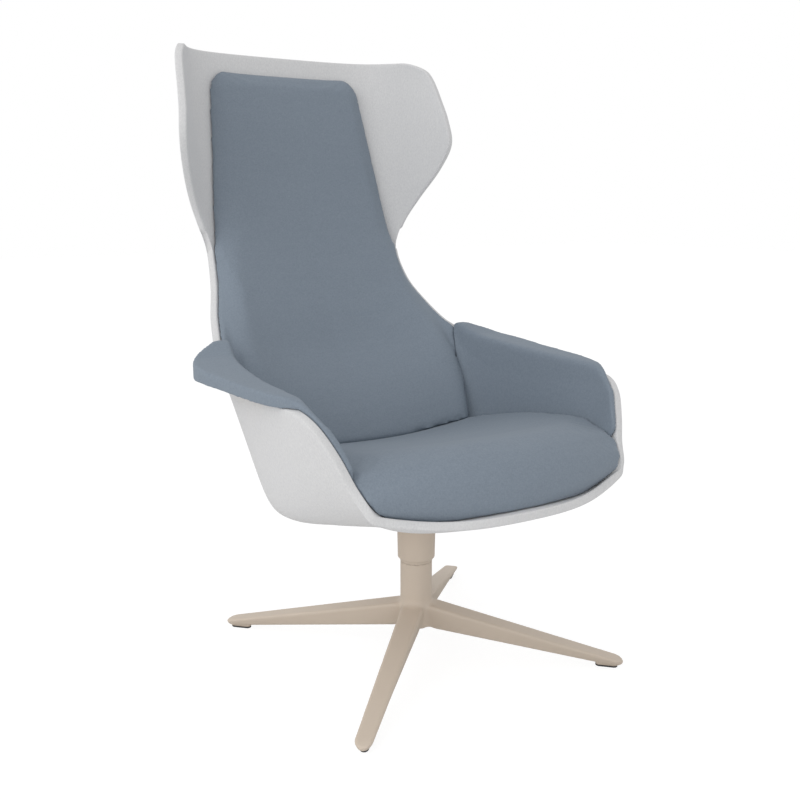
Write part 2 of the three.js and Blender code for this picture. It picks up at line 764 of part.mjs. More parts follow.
// The plate follows the shell's underside and carries the sleeve in its hub
function seatPlate() {
  const rows = span(stationRow(plateStations[0]), stationRow(plateStations[1]), plateRowCount);
  const columns = span(-halfColumns * plateWidthShare, halfColumns * plateWidthShare, 4);
  const top = -shellWall - 2 * fitGap;
  const tray = shellPatch(rows, columns, top, plateUnder);
  const hub = rod(plateHubRadius, hubBase, hubBase + plateHubReach);
  const reach = span(stationRow(plateStations[0]) - 1, stationRow(plateStations[1]) + 1, plateRowCount + 2);
  const wide = columns.map((column) => column * (1 + plateRoomShare));
  const above = shellPatch(reach, wide, top + plateHubReach, top);
  return cut(join([tray, hub]), [
    above,
    rod(sleeveRadius + fitGap, hubBase - overrun, sleeveTop + fitGap),
    rod(sleeveBore, sleeveTop, postTop + postHeadroom),
    ...boltHoles(boltRadius + boltHoleGap, plateUnder - overrun, top + overrun),
    ...boltHoles(boltHeadRadius + boltHeadHeight, plateUnder - plateHubReach, plateUnder),
  ]);
}

// Swivel: a sleeve turns on a fixed post between two bushes
const washerTop = seamHeight + turnGap + washerWall;
const sleeveBase = washerTop + turnGap;
const hubBase = sleeveTop - plateHubDrop;
const bushTop = sleeveTop - ringSeat;

function swivelSleeve() {
  return turned([
    [sleeveBore, sleeveBase],
    [collarRadius, sleeveBase],
    [collarRadius, sleeveBase + collarRise],
    [sleeveFootRadius, sleeveBase + collarRise + sleeveBevel],
    [sleeveRadius, sleeveTop],
    [sleeveBore, sleeveTop],
  ]);
}

function bush(top) {
  const inner = postRadius + turnGap;
  return ring(inner, sleeveBore - fitGap, top - bushLength, top);
}

function post() {
  const grooveTop = bushTop + fitGap + ringWall + fitGap;
  const neck = postRadius - grooveDepth;
  return turned([
    [0, nutBase - threadOverhang],
    [threadRadius, nutBase - threadOverhang],
    [threadRadius, hubFloor + threadSeat],
    [postRadius, hubFloor + threadSeat],
    [postRadius, bushTop + fitGap],
    [neck, bushTop + fitGap],
    [neck, grooveTop],
    [postRadius, grooveTop],
    [postRadius, postTop],
    [0, postTop],
  ]);
}

const ringBase = bushTop + fitGap + ringGap;
const nutTop = hubFloor - nutWasherWall - 2 * fitGap;
const nutBase = nutTop - nutHeight;

// Star base: a bored column with four tapering legs
const legSteps = [0.04, 0.16, 0.3, 0.5, 0.7, 0.86, 0.93];
const tipTurns = 5;
const tipLastAngle = Math.PI * 0.465;

function legSection(reachShare, tipShare) {
  const reach = legReach * reachShare;
  const half = (legHalfAtHub + (legHalfAtTip - legHalfAtHub) * reachShare) * tipShare;
  const crest = legTopAtHub + (legTopAtTip - legTopAtHub) * reachShare;
  const under = legFloorAtHub + (legFloorAtTip - legFloorAtHub) * reachShare;
  const top = crest - (crest - under) * (1 - tipShare) * tipDropShare;
  const floor = under + (crest - under) * (1 - tipShare) * tipRiseShare;
  const edge = legEdge * tipShare;
  const foot = half - legDraft * tipShare;
  const outline = [
    [foot - edge, floor],
    [foot, floor + edge / 2],
    [half, top - edge],
    [half - edge, top],
    [edge - half, top],
    [-half, top - edge],
    [-foot, floor + edge / 2],
    [edge - foot, floor],
  ];
  return outline.map(([across, height]) => vec(reach, across, height));
}

// A long rounded foot under a leg, through [inset, height] rows
function slot(rows) {
  const straight = glideHalfLength - glideRadius;
  const rings = rows.map(([inset, height]) =>
    [1, -1].flatMap((end) =>
      span(-Math.PI / 2, Math.PI / 2, glideSteps).map((angle) => {
        const reach = end * (straight + (glideRadius - inset) * Math.cos(angle));
        return vec(glideCircle + reach, end * (glideRadius - inset) * Math.sin(angle), height);
      }),
    ),
  );
  return ringLoft(rings);
}

function leg(turn) {
  const tipStart = 1 - legHalfAtTip / legReach;
  const round = span(0, Math.PI / 2, tipTurns).slice(0, -1).concat([tipLastAngle]);
  const tips = round.map((angle) => [
    tipStart + (1 - tipStart) * Math.sin(angle),
    Math.cos(angle),
  ]);
  const sections = [...legSteps.map((share) => [share, 1]), ...tips];
  const body = ringLoft(sections.map(([reachShare, tipShare]) => legSection(reachShare, tipShare)));
  const bossTop = legFloorAtTip + (legFloorAtHub - legFloorAtTip) * (1 - glideCircle / legReach);
  const boss = slot([[0, bossFloor], [0, bossTop + legEdge]]);
  return join([body, boss]).rotateZ(turn);
}

const glideTop = glideFloor + glideWall;
const bossFloor = glideTop + fitGap;
const studRod = (radius, from, to) => rod(radius, from, to, boltSides).translate(glideCircle, 0, 0);
const legTurns = Array.from({ length: legCount }, (_, k) => ((k + 0.5) * 2 * Math.PI) / legCount);

function starBase() {
  const hub = turned([
    [0, hubFoot],
    [hubRadius, hubFoot],
    [hubRadius + hubFlare, hubFoot + hubFlare],
    [hubRadius + hubFlare, hubWaist],
    [columnRadius + columnFlare, hubWaist + hubFilletRise * filletBreakShare],
    [columnRadius, hubWaist + hubFilletRise],
    [columnRadius, seamHeight],
    [0, seamHeight],
  ]);
  const legs = legTurns.map((turn) => leg(turn));
  return cut(join([hub, ...legs]), [
    rod(postRadius + boreGap, hubFloor + threadSeat - boreGap, seamHeight + overrun),
    rod(threadRadius + boreGap, hubFloor - overrun, seamHeight),
    rod(nutWasherRadius + nutRoom, hubFoot - overrun, hubFloor),
    ...legTurns.map((turn) =>
      studRod(studRadius + boreGap, bossFloor - overrun, glideTop - studSink + studLength + fitGap).rotateZ(turn),
    ),
  ]);
}

function glide(turn) {
  const body = slot([[glideBevel, glideFloor], [0, glideFloor + glideBevel], [0, glideTop]]);
  const bore = studRod(studRadius + boreGap, glideTop - studSink - fitGap, glideTop + overrun);
  return cut(body, [bore]).rotateZ(turn);
}

addPart('outer_shell', drilledShell(), 'shell');
addPart('back_pad', backPad(), 'cloth');
addPart('back_board', backBoard(), 'board');
addPart('seat_cushion', seatCushion(), 'cloth');
addPart('seat_board', seatBoard(), 'board');
for (const [side, hand] of [[1, 'left'], [-1, 'right']]) {
  addPart(`${hand}_arm_pad`, armPad(side), 'cloth');
  addPart(`${hand}_arm_board`, armBoard(side), 'board');
}
addPart('seat_plate', seatPlate(), 'metal');
boltPlaces.forEach(([row, column], k) => {
  addPart(`plate_bolt_${k + 1}`, bolt(row, column), 'steel');
  addPart(`board_nut_${k + 1}`, boardNut(row, column), 'steel');
});
addPart('swivel_sleeve', swivelSleeve(), 'metal');
addPart('upper_bush', bush(bushTop), 'plastic');
addPart('lower_bush', bush(sleeveBase + bushLength + bushFlange), 'plastic');
addPart('swivel_post', post(), 'steel');
addPart('retaining_ring', ring(postRadius - grooveDepth + turnGap, ringRadius, ringBase, ringBase + ringWall), 'steel');
addPart('thrust_washer', ring(postRadius + turnGap, columnRadius - washerInset, seamHeight + turnGap, washerTop), 'plastic');
addPart('star_base', starBase(), 'metal');
addPart('post_washer', ring(threadRadius + boreGap, nutWasherRadius, nutTop + fitGap, hubFloor - fitGap), 'steel');
const nutBore = threadRadius + boreGap;
const nutBody = rod(nutRadius, nutBase, nutTop, nutSides);
addPart('post_nut', cut(nutBody, [rod(nutBore, nutBase - overrun, nutTop + overrun)]), 'steel');
legTurns.forEach((turn, k) => {
  const stud = studRod(studRadius, glideTop - studSink, glideTop - studSink + studLength);
  addPart(`glide_${k + 1}`, glide(turn), 'plastic');
  addPart(`glide_stud_${k + 1}`, stud.rotateZ(turn), 'steel');
});

// The origin is on the floor under the middle of the whole, so the swivel axis lies ahead of it
group.updateMatrixWorld(true);
const bounds = new THREE.Box3().setFromObject(group, true);
const middle = (bounds.min.y + bounds.max.y) / 2;
for (const mesh of group.children) mesh.geometry.translate(0, -middle, -bounds.min.z);
console.log(`swivel axis at y ${(-middle).toFixed(3)}`);

export default group;
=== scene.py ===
import json
import math

import bmesh
import bpy
import numpy as np
from mathutils import Matrix, Vector
from mathutils.bvhtree import BVHTree


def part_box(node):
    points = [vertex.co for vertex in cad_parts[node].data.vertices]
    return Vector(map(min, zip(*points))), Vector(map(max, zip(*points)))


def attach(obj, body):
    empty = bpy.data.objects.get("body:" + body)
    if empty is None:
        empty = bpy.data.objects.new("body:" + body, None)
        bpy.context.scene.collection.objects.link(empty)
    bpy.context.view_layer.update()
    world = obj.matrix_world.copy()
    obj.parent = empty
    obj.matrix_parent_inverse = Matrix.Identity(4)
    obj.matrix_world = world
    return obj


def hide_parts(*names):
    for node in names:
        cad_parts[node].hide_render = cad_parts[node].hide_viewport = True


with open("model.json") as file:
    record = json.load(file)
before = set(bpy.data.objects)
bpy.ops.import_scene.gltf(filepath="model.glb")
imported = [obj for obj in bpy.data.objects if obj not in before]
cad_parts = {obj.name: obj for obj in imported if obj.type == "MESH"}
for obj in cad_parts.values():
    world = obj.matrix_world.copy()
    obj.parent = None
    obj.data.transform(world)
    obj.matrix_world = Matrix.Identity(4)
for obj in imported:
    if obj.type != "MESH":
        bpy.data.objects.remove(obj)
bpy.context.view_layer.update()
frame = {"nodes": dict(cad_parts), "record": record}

scene = bpy.context.scene
sleeveLow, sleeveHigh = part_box("swivel_sleeve")
axisY = (sleeveLow[1] + sleeveHigh[1]) / 2
print("frame loaded")


# Finishes

class Wire:  # a value on its way through a material
    def __init__(self, owner, socket):
        self.owner, self.socket = owner, socket

    def combine(self, operation, other):
        return self.owner.node("ShaderNodeMath", {"operation": operation}, {0: self, 1: other})

    def __add__(self, other):
        return self.combine("ADD", other)

    def __mul__(self, other):
        return self.combine("MULTIPLY", other)

    __radd__, __rmul__ = __add__, __mul__


class Wiring:  # the nodes of one material or world
    def __init__(self, tree):
        self.tree = tree

    def feed(self, socket, value):
        if isinstance(value, Wire):
            self.tree.links.new(value.socket, socket)
        else:
            socket.default_value = value

    def node(self, kind, settings=None, inputs=None, output=0):
        made = self.tree.nodes.new(kind)
        for key, value in (settings or {}).items():
            if key == "stops":
                for stop in list(made.color_ramp.elements)[1:]:
                    made.color_ramp.elements.remove(stop)
                for k, (place, color) in enumerate(value):
                    stop = made.color_ramp.elements[0] if k == 0 else made.color_ramp.elements.new(place)
                    stop.position, stop.color = place, color
            else:
                setattr(made, key, value)
        for key, value in (inputs or {}).items():
            self.feed(made.inputs[key], value)
        return Wire(self, made.outputs[output]) if made.outputs else None


class Finish(Wiring):  # one material
    def __init__(self, name, **sockets):
        self.material = bpy.data.materials.new(name)
        self.material.use_nodes = True
        super().__init__(self.material.node_tree)
        self.shader = self.tree.nodes["Principled BSDF"]
        for socket, value in sockets.items():
            self.feed(self.shader.inputs[socket.replace("_", " ")], value)

    def noise(self, scale, detail=2.0, stretch=(1, 1, 1), roughness=0.5):  # on object coordinates
        coords = self.node("ShaderNodeTexCoord", output="Object")
        place = self.node("ShaderNodeMapping", inputs={"Vector": coords, "Scale": stretch})
        inputs = {"Vector": place, "Scale": scale, "Detail": detail, "Roughness": roughness}
        return self.node("ShaderNodeTexNoise", inputs=inputs, output="Fac")

    def mix(self, factor, first, second):
        return self.node("ShaderNodeMix", {"data_type": "RGBA"}, {0: factor, 6: first, 7: second}, output=2)

    def ramp(self, value, *stops):
        greys = [(place, (grey, grey, grey, 1)) for place, grey in stops]
        return self.node("ShaderNodeValToRGB", {"stops": greys}, {"Fac": value})

    def surface(self, color, roughness, bumps):
        self.feed(self.shader.inputs["Base Color"], color)
        self.feed(self.shader.inputs["Roughness"], roughness)
        normal = {}
        for height, strength, distance in bumps:
            inputs = {"Height": height, "Strength": strength, "Distance": distance}
            normal = {"Normal": self.node("ShaderNodeBump", inputs=inputs | normal)}
        self.feed(self.shader.inputs["Normal"], normal["Normal"])
        return self.material


def rgb(*screen):  # a colour read on screen, as the linear value that a shader takes
    shares = [part / 255 for part in screen]
    return tuple(s / 12.92 if s <= 0.04045 else ((s + 0.055) / 1.055) ** 2.4 for s in shares) + (1,)


def feltFinish():  # pressed fibres, heathered in two greys
    felt = Finish("shellFelt", Sheen_Weight=0.12, Sheen_Roughness=0.6)
    fibre = felt.noise(420, 3, (1, 1, 0.55), 0.62)
    flecks = felt.ramp(felt.noise(1500, 1), (0.46, 0), (0.72, 1))
    cloud = felt.noise(26, 3)
    tone = felt.mix(felt.ramp(fibre, (0.32, 0), (0.68, 1)), rgb(206, 206, 207), rgb(219, 219, 219))
    tone = felt.mix(flecks * 0.16, tone, rgb(186, 187, 190))
    tone = felt.mix(cloud * 0.22, tone, rgb(214, 214, 216))
    return felt.surface(tone, 0.86 + fibre * 0.1, [(cloud, 0.05, 0.002), (fibre, 0.18, 0.0006)])


def clothFinish():  # fine blue grey wool, woven two ways
    cloth = Finish("padCloth", Sheen_Weight=0.06, Sheen_Roughness=0.5)
    grain = cloth.noise(620, 2, (0.35, 1, 1)) * 0.5 + cloth.noise(620, 2, (1, 0.4, 0.4)) * 0.5
    slub = cloth.noise(95, 2, (0.16, 1, 1))
    cloud = cloth.noise(9, 2)
    tone = cloth.mix(cloth.ramp(grain, (0.36, 0), (0.64, 1)), rgb(117, 128, 140), rgb(130, 141, 153))
    tone = cloth.mix(slub * 0.25, tone, rgb(138, 149, 160))
    tone = cloth.mix(cloud * 0.2, tone, rgb(119, 130, 143))
    return cloth.surface(tone, 0.8 + grain * 0.14, [(slub, 0.06, 0.001), (grain, 0.28, 0.0007)])


def coatFinish():  # satin powder coat on cast metal
    coat = Finish("frameCoat", Coat_Weight=0.06)
    peel = coat.noise(900, 2)
    tone = coat.mix(coat.noise(14, 2) * 0.35, rgb(207, 193, 177), rgb(200, 185, 170))
    tone = coat.mix(coat.ramp(peel, (0.5, 0), (0.8, 1)) * 0.12, tone, rgb(216, 203, 189))
    return coat.surface(tone, 0.5 + peel * 0.12, [(peel, 0.1, 0.0004)])


def steelFinish():  # drawn steel, bright where it was turned
    steel = Finish("bareSteel", Metallic=1.0)
    drawn = steel.noise(320, 2, (1, 1, 0.08))
    tone = steel.mix(drawn, rgb(176, 178, 182), rgb(201, 202, 205))
    return steel.surface(tone, 0.28 + drawn * 0.2, [(drawn, 0.08, 0.0003)])


def plasticFinish():  # matt moulded plastic
    plastic = Finish("darkPlastic")
    grain = plastic.noise(1400, 2)
    tone = plastic.mix(grain, rgb(38, 38, 41), rgb(52, 52, 55))
    return plastic.surface(tone, 0.5 + grain * 0.2, [(grain, 0.15, 0.0003)])


def boardFinish():  # plywood with long grain
    board = Finish("plyBoard")
    grain = board.noise(26, 4, (5, 1, 5))
    pores = board.noise(500, 2, (1, 0.08, 1))
    tone = board.mix(grain, rgb(193, 160, 120), rgb(160, 124, 86))
    tone = board.mix(pores * 0.3, tone, rgb(120, 90, 60))
    return board.surface(tone, 0.6 + grain * 0.15, [(pores, 0.15, 0.0005)])


slotMaterials = {
    "shell_felt": feltFinish(), "upholstery": clothFinish(), "frame_coat": coatFinish(),
    "steel": steelFinish(), "dark_plastic": plasticFinish(), "pad_board": boardFinish(),
}
for subpart in frame["record"]["subparts"]:
    node = frame["nodes"][subpart["node"]]
    node.data.materials.clear()
    node.data.materials.append(slotMaterials[subpart["material_slot"]])
print("finishes made")


# Shell form: a rational curve at each station, from the spine through a turn to the rim

shellForm = {  # metres, about the swivel axis, before the model is set on its glides
    "halfWidth": 0.290, "depth": 0.850, "rise": 0.740, "reach": 0.320, "lip": 0.348,
    "wall": 0.014, "rimRound": 0.0028, "floorDrop": 0.0026,
    "sideSteps": 12, "rowsPerStation": 2, "evenRounds": 2,
    "lowCorner": [1.15, 0.055], "topCorner": [0.8, 0.1], "cornerCuts": 16,
    "besideCorner": 0.98, "beyondCorner": 0.2,
    # shares of the sizes above: spine y z, turn x y z, rim x y z, and the curve's fullness
    "stations": [
        [0.006, -0.003, 0.473, 0.053, -0.012, 0.775, 0.072, 0.016, 0.60],
        [0.020, -0.004, 0.561, 0.090, -0.033, 0.811, 0.073, 0.024, 0.60],
        [0.042, -0.007, 0.635, 0.117, -0.044, 0.832, 0.080, 0.042, 0.60],
        [0.076, -0.014, 0.746, 0.154, -0.052, 0.862, 0.104, 0.077, 0.60],
        [0.112, -0.022, 0.810, 0.182, -0.056, 0.907, 0.127, 0.128, 0.72],
        [0.147, -0.028, 0.841, 0.210, -0.063, 0.966, 0.159, 0.180, 0.90],
        [0.182, -0.035, 0.853, 0.240, -0.070, 1.003, 0.198, 0.205, 1.12],
        [0.253, -0.047, 0.860, 0.283, -0.085, 1.007, 0.276, 0.207, 1.50],
        [0.341, -0.064, 0.858, 0.364, -0.108, 1.000, 0.376, 0.209, 2.08],
        [0.429, -0.080, 0.822, 0.438, -0.122, 0.969, 0.500, 0.218, 2.43],
        [0.500, -0.089, 0.760, 0.485, -0.127, 0.931, 0.588, 0.228, 2.36],
        [0.539, -0.084, 0.737, 0.500, -0.107, 0.903, 0.641, 0.242, 2.19],
        [0.571, -0.069, 0.715, 0.522, -0.075, 0.883, 0.678, 0.268, 1.94],
        [0.653, 0.016, 0.701, 0.611, 0.040, 0.8525, 0.7115, 0.286, 1.59],
        [0.729, 0.095, 0.696, 0.692, 0.141, 0.803, 0.7646, 0.330, 1.34],
        [0.795, 0.178, 0.669, 0.766, 0.242, 0.7314, 0.823, 0.401, 1.12],
        [0.847, 0.300, 0.641, 0.840, 0.358, 0.713, 0.8584, 0.486, 1.02],
        [0.884, 0.422, 0.638, 0.879, 0.475, 0.779, 0.852, 0.557, 1.01],
        [0.912, 0.530, 0.655, 0.907, 0.566, 0.848, 0.8266, 0.618, 1.01],
        [0.935, 0.631, 0.676, 0.928, 0.661, 0.931, 0.7764, 0.700, 1.01],
        [0.952, 0.712, 0.696, 0.937, 0.736, 0.966, 0.749, 0.766, 1.00],
        [0.966, 0.786, 0.713, 0.946, 0.805, 0.9515, 0.758, 0.827, 1.00],
        [0.978, 0.854, 0.715, 0.957, 0.865, 0.937, 0.7755, 0.874, 1.00],
        [0.989, 0.928, 0.705, 0.972, 0.935, 0.907, 0.812, 0.951, 1.00],
        [1.001, 0.999, 0.691, 0.982, 0.999, 0.858, 0.846, 0.988, 1.00],
    ],
}
stationTable = np.array(shellForm["stations"])
topStation = len(stationTable) - 1
originShift = np.array([0, axisY, -shellForm["floorDrop"]])


def along(table, place):  # a smooth curve through [place, value] rows that never overshoots them
    xs, ys = np.array(table, float).T
    steps, slopes = np.diff(xs), np.diff(ys) / np.diff(xs)
    left, right = slopes[:-1], slopes[1:]
    inner = np.where(left * right > 0, 2 * left * right / np.where(left + right == 0, 1, left + right), 0)
    tangents = np.concatenate([slopes[:1], inner, slopes[-1:]])
    place = np.clip(place, xs[0], xs[-1])
    k = np.clip(np.searchsorted(xs, place, "right") - 1, 0, len(steps) - 1)
    t = (place - xs[k]) / steps[k]
    rise = ys[k] * (1 + 2 * t) * (1 - t) ** 2 + ys[k + 1] * t * t * (3 - 2 * t)
    return rise + steps[k] * (tangents[k] * t * (1 - t) ** 2 + tangents[k + 1] * t * t * (t - 1))


def guide(x, y, z):  # the line through one control point of every station, from its columns
    across = stationTable[:, x] if x is not None else np.zeros(topStation + 1)
    deep = stationTable[:, y] * shellForm["depth"] - shellForm["reach"]
    high = stationTable[:, z] * shellForm["rise"] + shellForm["lip"]
    return np.stack([across * shellForm["halfWidth"], deep, high], 1)


guides = [guide(None, 0, 1), guide(2, 3, 4), guide(5, 6, 7)]


def onGuide(points, station):  # centripetal curve through a guide's points
    ends = np.concatenate([[2 * points[0] - points[1]], points, [2 * points[-1] - points[-2]]])
    k = np.clip(np.floor(station).astype(int), 0, topStation - 1)
    t = (station - k)[:, None]
    a, b, c, d = (ends[k + n] for n in range(4))
    gaps = [np.linalg.norm(q - p, axis=1)[:, None] ** 0.5 for p, q in ((a, b), (b, c), (c, d))]
    into = ((b - a) / gaps[0] - (c - a) / (gaps[0] + gaps[1]) + (c - b) / gaps[1]) * gaps[1]
    out = ((c - b) / gaps[1] - (d - b) / (gaps[1] + gaps[2]) + (d - c) / gaps[2]) * gaps[1]
    return b + into * t + (3 * (c - b) - 2 * into - out) * t ** 2 + (2 * (b - c) + into + out) * t ** 3


def rowControls(station):  # the places and weights that shape one row
    spine, turn, rim = (onGuide(points, station) for points in guides)
    low = np.stack([turn[:, 0], spine[:, 1], spine[:, 2]], 1)
    fullness = np.interp(station, np.arange(topStation + 1), stationTable[:, 8])
    ends = np.ones_like(fullness)
    return np.stack([spine, low, turn, rim], 1), np.stack([ends, fullness, fullness, ends], 1)


def sidePoint(places, weights, share):
    rest = 1 - share
    pull = np.stack([rest ** 3, 3 * rest ** 2 * share, 3 * rest * share ** 2, share ** 3], 1) * weights
    return (places * (pull / pull.sum(1, keepdims=True))[:, :, None]).sum(1)


def unit(vectors):
    return vectors / np.linalg.norm(vectors, axis=-1, keepdims=True)


def evenedNormals():  # the normals on a coarse net, evened out so that the wall stays fair
    rows, columns = topStation * shellForm["rowsPerStation"] + 1, shellForm["sideSteps"] + 1
    stations = np.repeat(np.arange(rows) / shellForm["rowsPerStation"], columns)
    shares = np.tile(np.arange(columns) / shellForm["sideSteps"], rows)
    net = sidePoint(*rowControls(stations), shares).reshape(rows, columns, 3)
    fields = unit(np.cross(net[1:, 1:] - net[:-1, :-1], net[1:, :-1] - net[:-1, 1:]))
    padded = np.pad(fields, ((1, 1), (1, 1), (0, 0)), "edge")
    normals = padded[1:, 1:] + padded[:-1, 1:] + padded[1:, :-1] + padded[:-1, :-1]
    normals[:, 0, 0] = 0
    for _ in range(shellForm["evenRounds"]):
        normals = unit(normals)
        padded = np.pad(normals, ((1, 1), (1, 1), (0, 0)), "edge")
        padded[1:-1, 0] = normals[:, 1] * [-1, 1, 1]
        normals = 2 * normals + padded[2:, 1:-1] + padded[:-2, 1:-1] + padded[1:-1, 2:] + padded[1:-1, :-2]
    normals = unit(normals)
    ends = np.concatenate([2 * normals[:1] - normals[1:2], normals, 2 * normals[-1:] - normals[-2:-1]])
    return np.concatenate([ends[:, 1:2] * [-1, 1, 1], ends, 2 * ends[:, -1:] - ends[:, -2:-1]], 1)


normalNet = evenedNormals()


def netWeights(t):  # how far each of four neighbours on the net counts
    return [
        (-t + 2 * t ** 2 - t ** 3) / 2, (2 - 5 * t ** 2 + 3 * t ** 3) / 2,
        (t + 4 * t ** 2 - 3 * t ** 3) / 2, (t ** 3 - t ** 2) / 2,
    ]


def onShell(station, share, lift=0.0):  # points lifted off the inner face; share 1 is the sitter's left rim
    station, share, lift = (np.array(v, float).ravel() for v in np.broadcast_arrays(station, share, lift))
    size = np.abs(share)
    point = sidePoint(*rowControls(station), size)
    row, column = station * shellForm["rowsPerStation"], size * shellForm["sideSteps"]
    i = np.clip(np.floor(row).astype(int), 0, normalNet.shape[0] - 4)
    j = np.clip(np.floor(column).astype(int), 0, normalNet.shape[1] - 4)
    normal = sum(
        (a * b)[:, None] * normalNet[i + m, j + n]
        for m, a in enumerate(netWeights(row - i)) for n, b in enumerate(netWeights(column - j))
    )
    point += unit(normal) * lift[:, None]
    point[:, 0] *= np.where(share < 0, -1, 1)
    return point


print("shell form ready")


# Mesh helpers

def sheet(bm, points):  # a grid whose corners are moved to a net of points
    rows, columns = points.shape[:2]
    made = bmesh.ops.create_grid(bm, x_segments=columns - 1, y_segments=rows - 1, size=1)["verts"]
    for vert in made:
        i = round((vert.co.y + 1) / 2 * (rows - 1))
        j = round((vert.co.x + 1) / 2 * (columns - 1))
        vert.co = points[i, j] + originShift
    return made


def asPiece(bm, name, slot, smooth=True):
    mesh = bpy.data.meshes.new(name)
    for face in bm.faces:
        face.smooth = smooth
    bm.to_mesh(mesh)
    bm.free()
    piece = bpy.data.objects.new(name, mesh)
    scene.collection.objects.link(piece)
    mesh.materials.append(slotMaterials[slot])
    return piece


def applied(piece):  # the mesh that the modifiers give, with none left
    graph = bpy.context.evaluated_depsgraph_get()
    mesh = bpy.data.meshes.new_from_object(piece.evaluated_get(graph))
    piece.modifiers.clear()
    old, piece.data = piece.data, mesh
    piece.vertex_groups.clear()
    name = old.name
    bpy.data.meshes.remove(old)
    mesh.name = name
    for polygon in mesh.polygons:
        polygon.use_smooth = True


def modifier(piece, kind, **settings):
    made = piece.modifiers.new(kind.lower(), kind)
    for key, value in settings.items():
        setattr(made, key, value)


def weigh(piece, name, weights):  # a vertex group with a weight for each point
    group = piece.vertex_groups.new(name=name)
    for index, weight in enumerate(weights):
        group.add([index], float(weight), "REPLACE")


def meshPoints(mesh, field="co"):
    points = np.zeros(len(mesh.vertices) * 3)
    mesh.vertices.foreach_get(field, points)
    return points.reshape(-1, 3)


def onlyVerts(parts):
    return [part for part in parts if isinstance(part, bmesh.types.BMVert)]


# Outer shell

def cutCorners(bm):  # the flat net's corners cut round, before it is bent into the shell
    ends = ((0, 1, shellForm["lowCorner"]), (topStation, -1, shellForm["topCorner"]))
    for end, inward, (rise, width) in ends:
        beside, beyond = shellForm["besideCorner"] - width, rise + shellForm["beyondCorner"]
        for side in (-1, 1):
            for angle in np.linspace(0, math.pi / 2, shellForm["cornerCuts"])[1:-1]:
                turn, up = side * math.cos(angle), -inward * math.sin(angle)
                near = [face for face in bm.faces if any(
                    vert.co.x * side > beside and abs(vert.co.y - end) < beyond for vert in face.verts
                )]
                geom = set(near)
                for face in near:
                    geom |= {*face.edges, *face.verts}
                bmesh.ops.bisect_plane(
                    bm, geom=list(geom), dist=1e-5, clear_outer=True, plane_no=(turn / width, up / rise, 0),
                    plane_co=(side * (1 - width) + width * turn, end + inward * rise + rise * up, 0),
                )
    bmesh.ops.remove_doubles(bm, verts=bm.verts, dist=0.0015)


def flatNet():  # share across, station up
    spans = ((0, 2, 25), (2, 12, 81), (12, topStation, 97))  # from a station, to another, rows
    stations = np.unique(np.concatenate([np.linspace(*span) for span in spans]))
    even = np.linspace(0, 1, 41)
    half = (np.sin(even * math.pi / 2) + even) / 2
    shares = np.concatenate([-half[:0:-1], half])
    bm = bmesh.new()
    flat = np.zeros((len(stations), len(shares)))
    sheet(bm, np.stack([*np.meshgrid(shares, stations), flat], 2) - originShift)
    cutCorners(bm)
    return bm


def rimAway(bm, inner, normals, number):  # the way out of the wall at each point of the rim
    away = {}
    for vert in {vert for edge in bm.edges if edge.is_boundary for vert in edge.verts}:
        k = number[vert]
        first, last = (number[edge.other_vert(vert)] for edge in vert.link_edges if edge.is_boundary)
        out = np.cross(inner[first] - inner[last], normals[k])
        middle = np.mean([inner[number[other]] for face in vert.link_faces for other in face.verts], 0)
        away[k] = unit(out) * (1 if out @ (inner[k] - middle) > 0 else -1)
    return away


def buildShell():  # the flat net bent to the inner and the outer face, joined by a rounded rim
    wall, rounding = shellForm["wall"], shellForm["rimRound"]
    bm = flatNet()
    verts = list(bm.verts)
    flat = np.array([vert.co[:] for vert in verts])
    lastStep = 1 / shellForm["sideSteps"]
    edgeLength = np.linalg.norm(onShell(flat[:, 1], 1) - onShell(flat[:, 1], 1 - lastStep), axis=1) / lastStep
    low, top = (
        rounding / np.linalg.norm(onShell(end, 0.4) - onShell(end + step, 0.4)) * abs(step)
        for end, step in ((0, 0.25), (topStation, -0.25))
    )
    stations = low + flat[:, 1] * (topStation - low - top) / topStation
    shares = flat[:, 0] * (1 - rounding / edgeLength)
    inner, outer = (onShell(stations, shares, lift) + originShift for lift in (0, -wall))
    normals = (inner - outer) / wall
    number = {vert: k for k, vert in enumerate(verts)}
    rim = [edge for edge in bm.edges if edge.is_boundary]
    away = rimAway(bm, inner, normals, number)
    copies = bmesh.ops.duplicate(bm, geom=bm.verts[:] + bm.edges[:] + bm.faces[:])["vert_map"]
    for k, vert in enumerate(verts):
        copies[vert].co, vert.co = outer[k], inner[k]
    angles = np.linspace(0, math.pi / 2, 4)[1:]
    profile = [(rounding * math.sin(angle), rounding * (1 - math.cos(angle))) for angle in angles]
    for out, down in profile + [(out, wall - down) for out, down in profile[::-1]] + [(0, wall)]:
        made = bmesh.ops.extrude_edge_only(bm, edges=rim)["geom"]
        fresh = set(onlyVerts(made))
        for vert in fresh:
            others = [edge.other_vert(vert) for edge in vert.link_edges]
            old = next(other for other in others if other not in fresh)
            k = number[vert] = number[old]
            vert.co = inner[k] + away[k] * out - normals[k] * down
        rim = [part for part in made if isinstance(part, bmesh.types.BMEdge) and fresh.issuperset(part.verts)]
    bmesh.ops.remove_doubles(bm, verts=bm.verts, dist=1e-5)
    bmesh.ops.recalc_face_normals(bm, faces=bm.faces)
    return asPiece(bm, "feltShell", "shell_felt")


feltShell = buildShell()
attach(feltShell, "seat")
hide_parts("outer_shell")
print("shell made", len(feltShell.data.polygons))


# Pads: forms

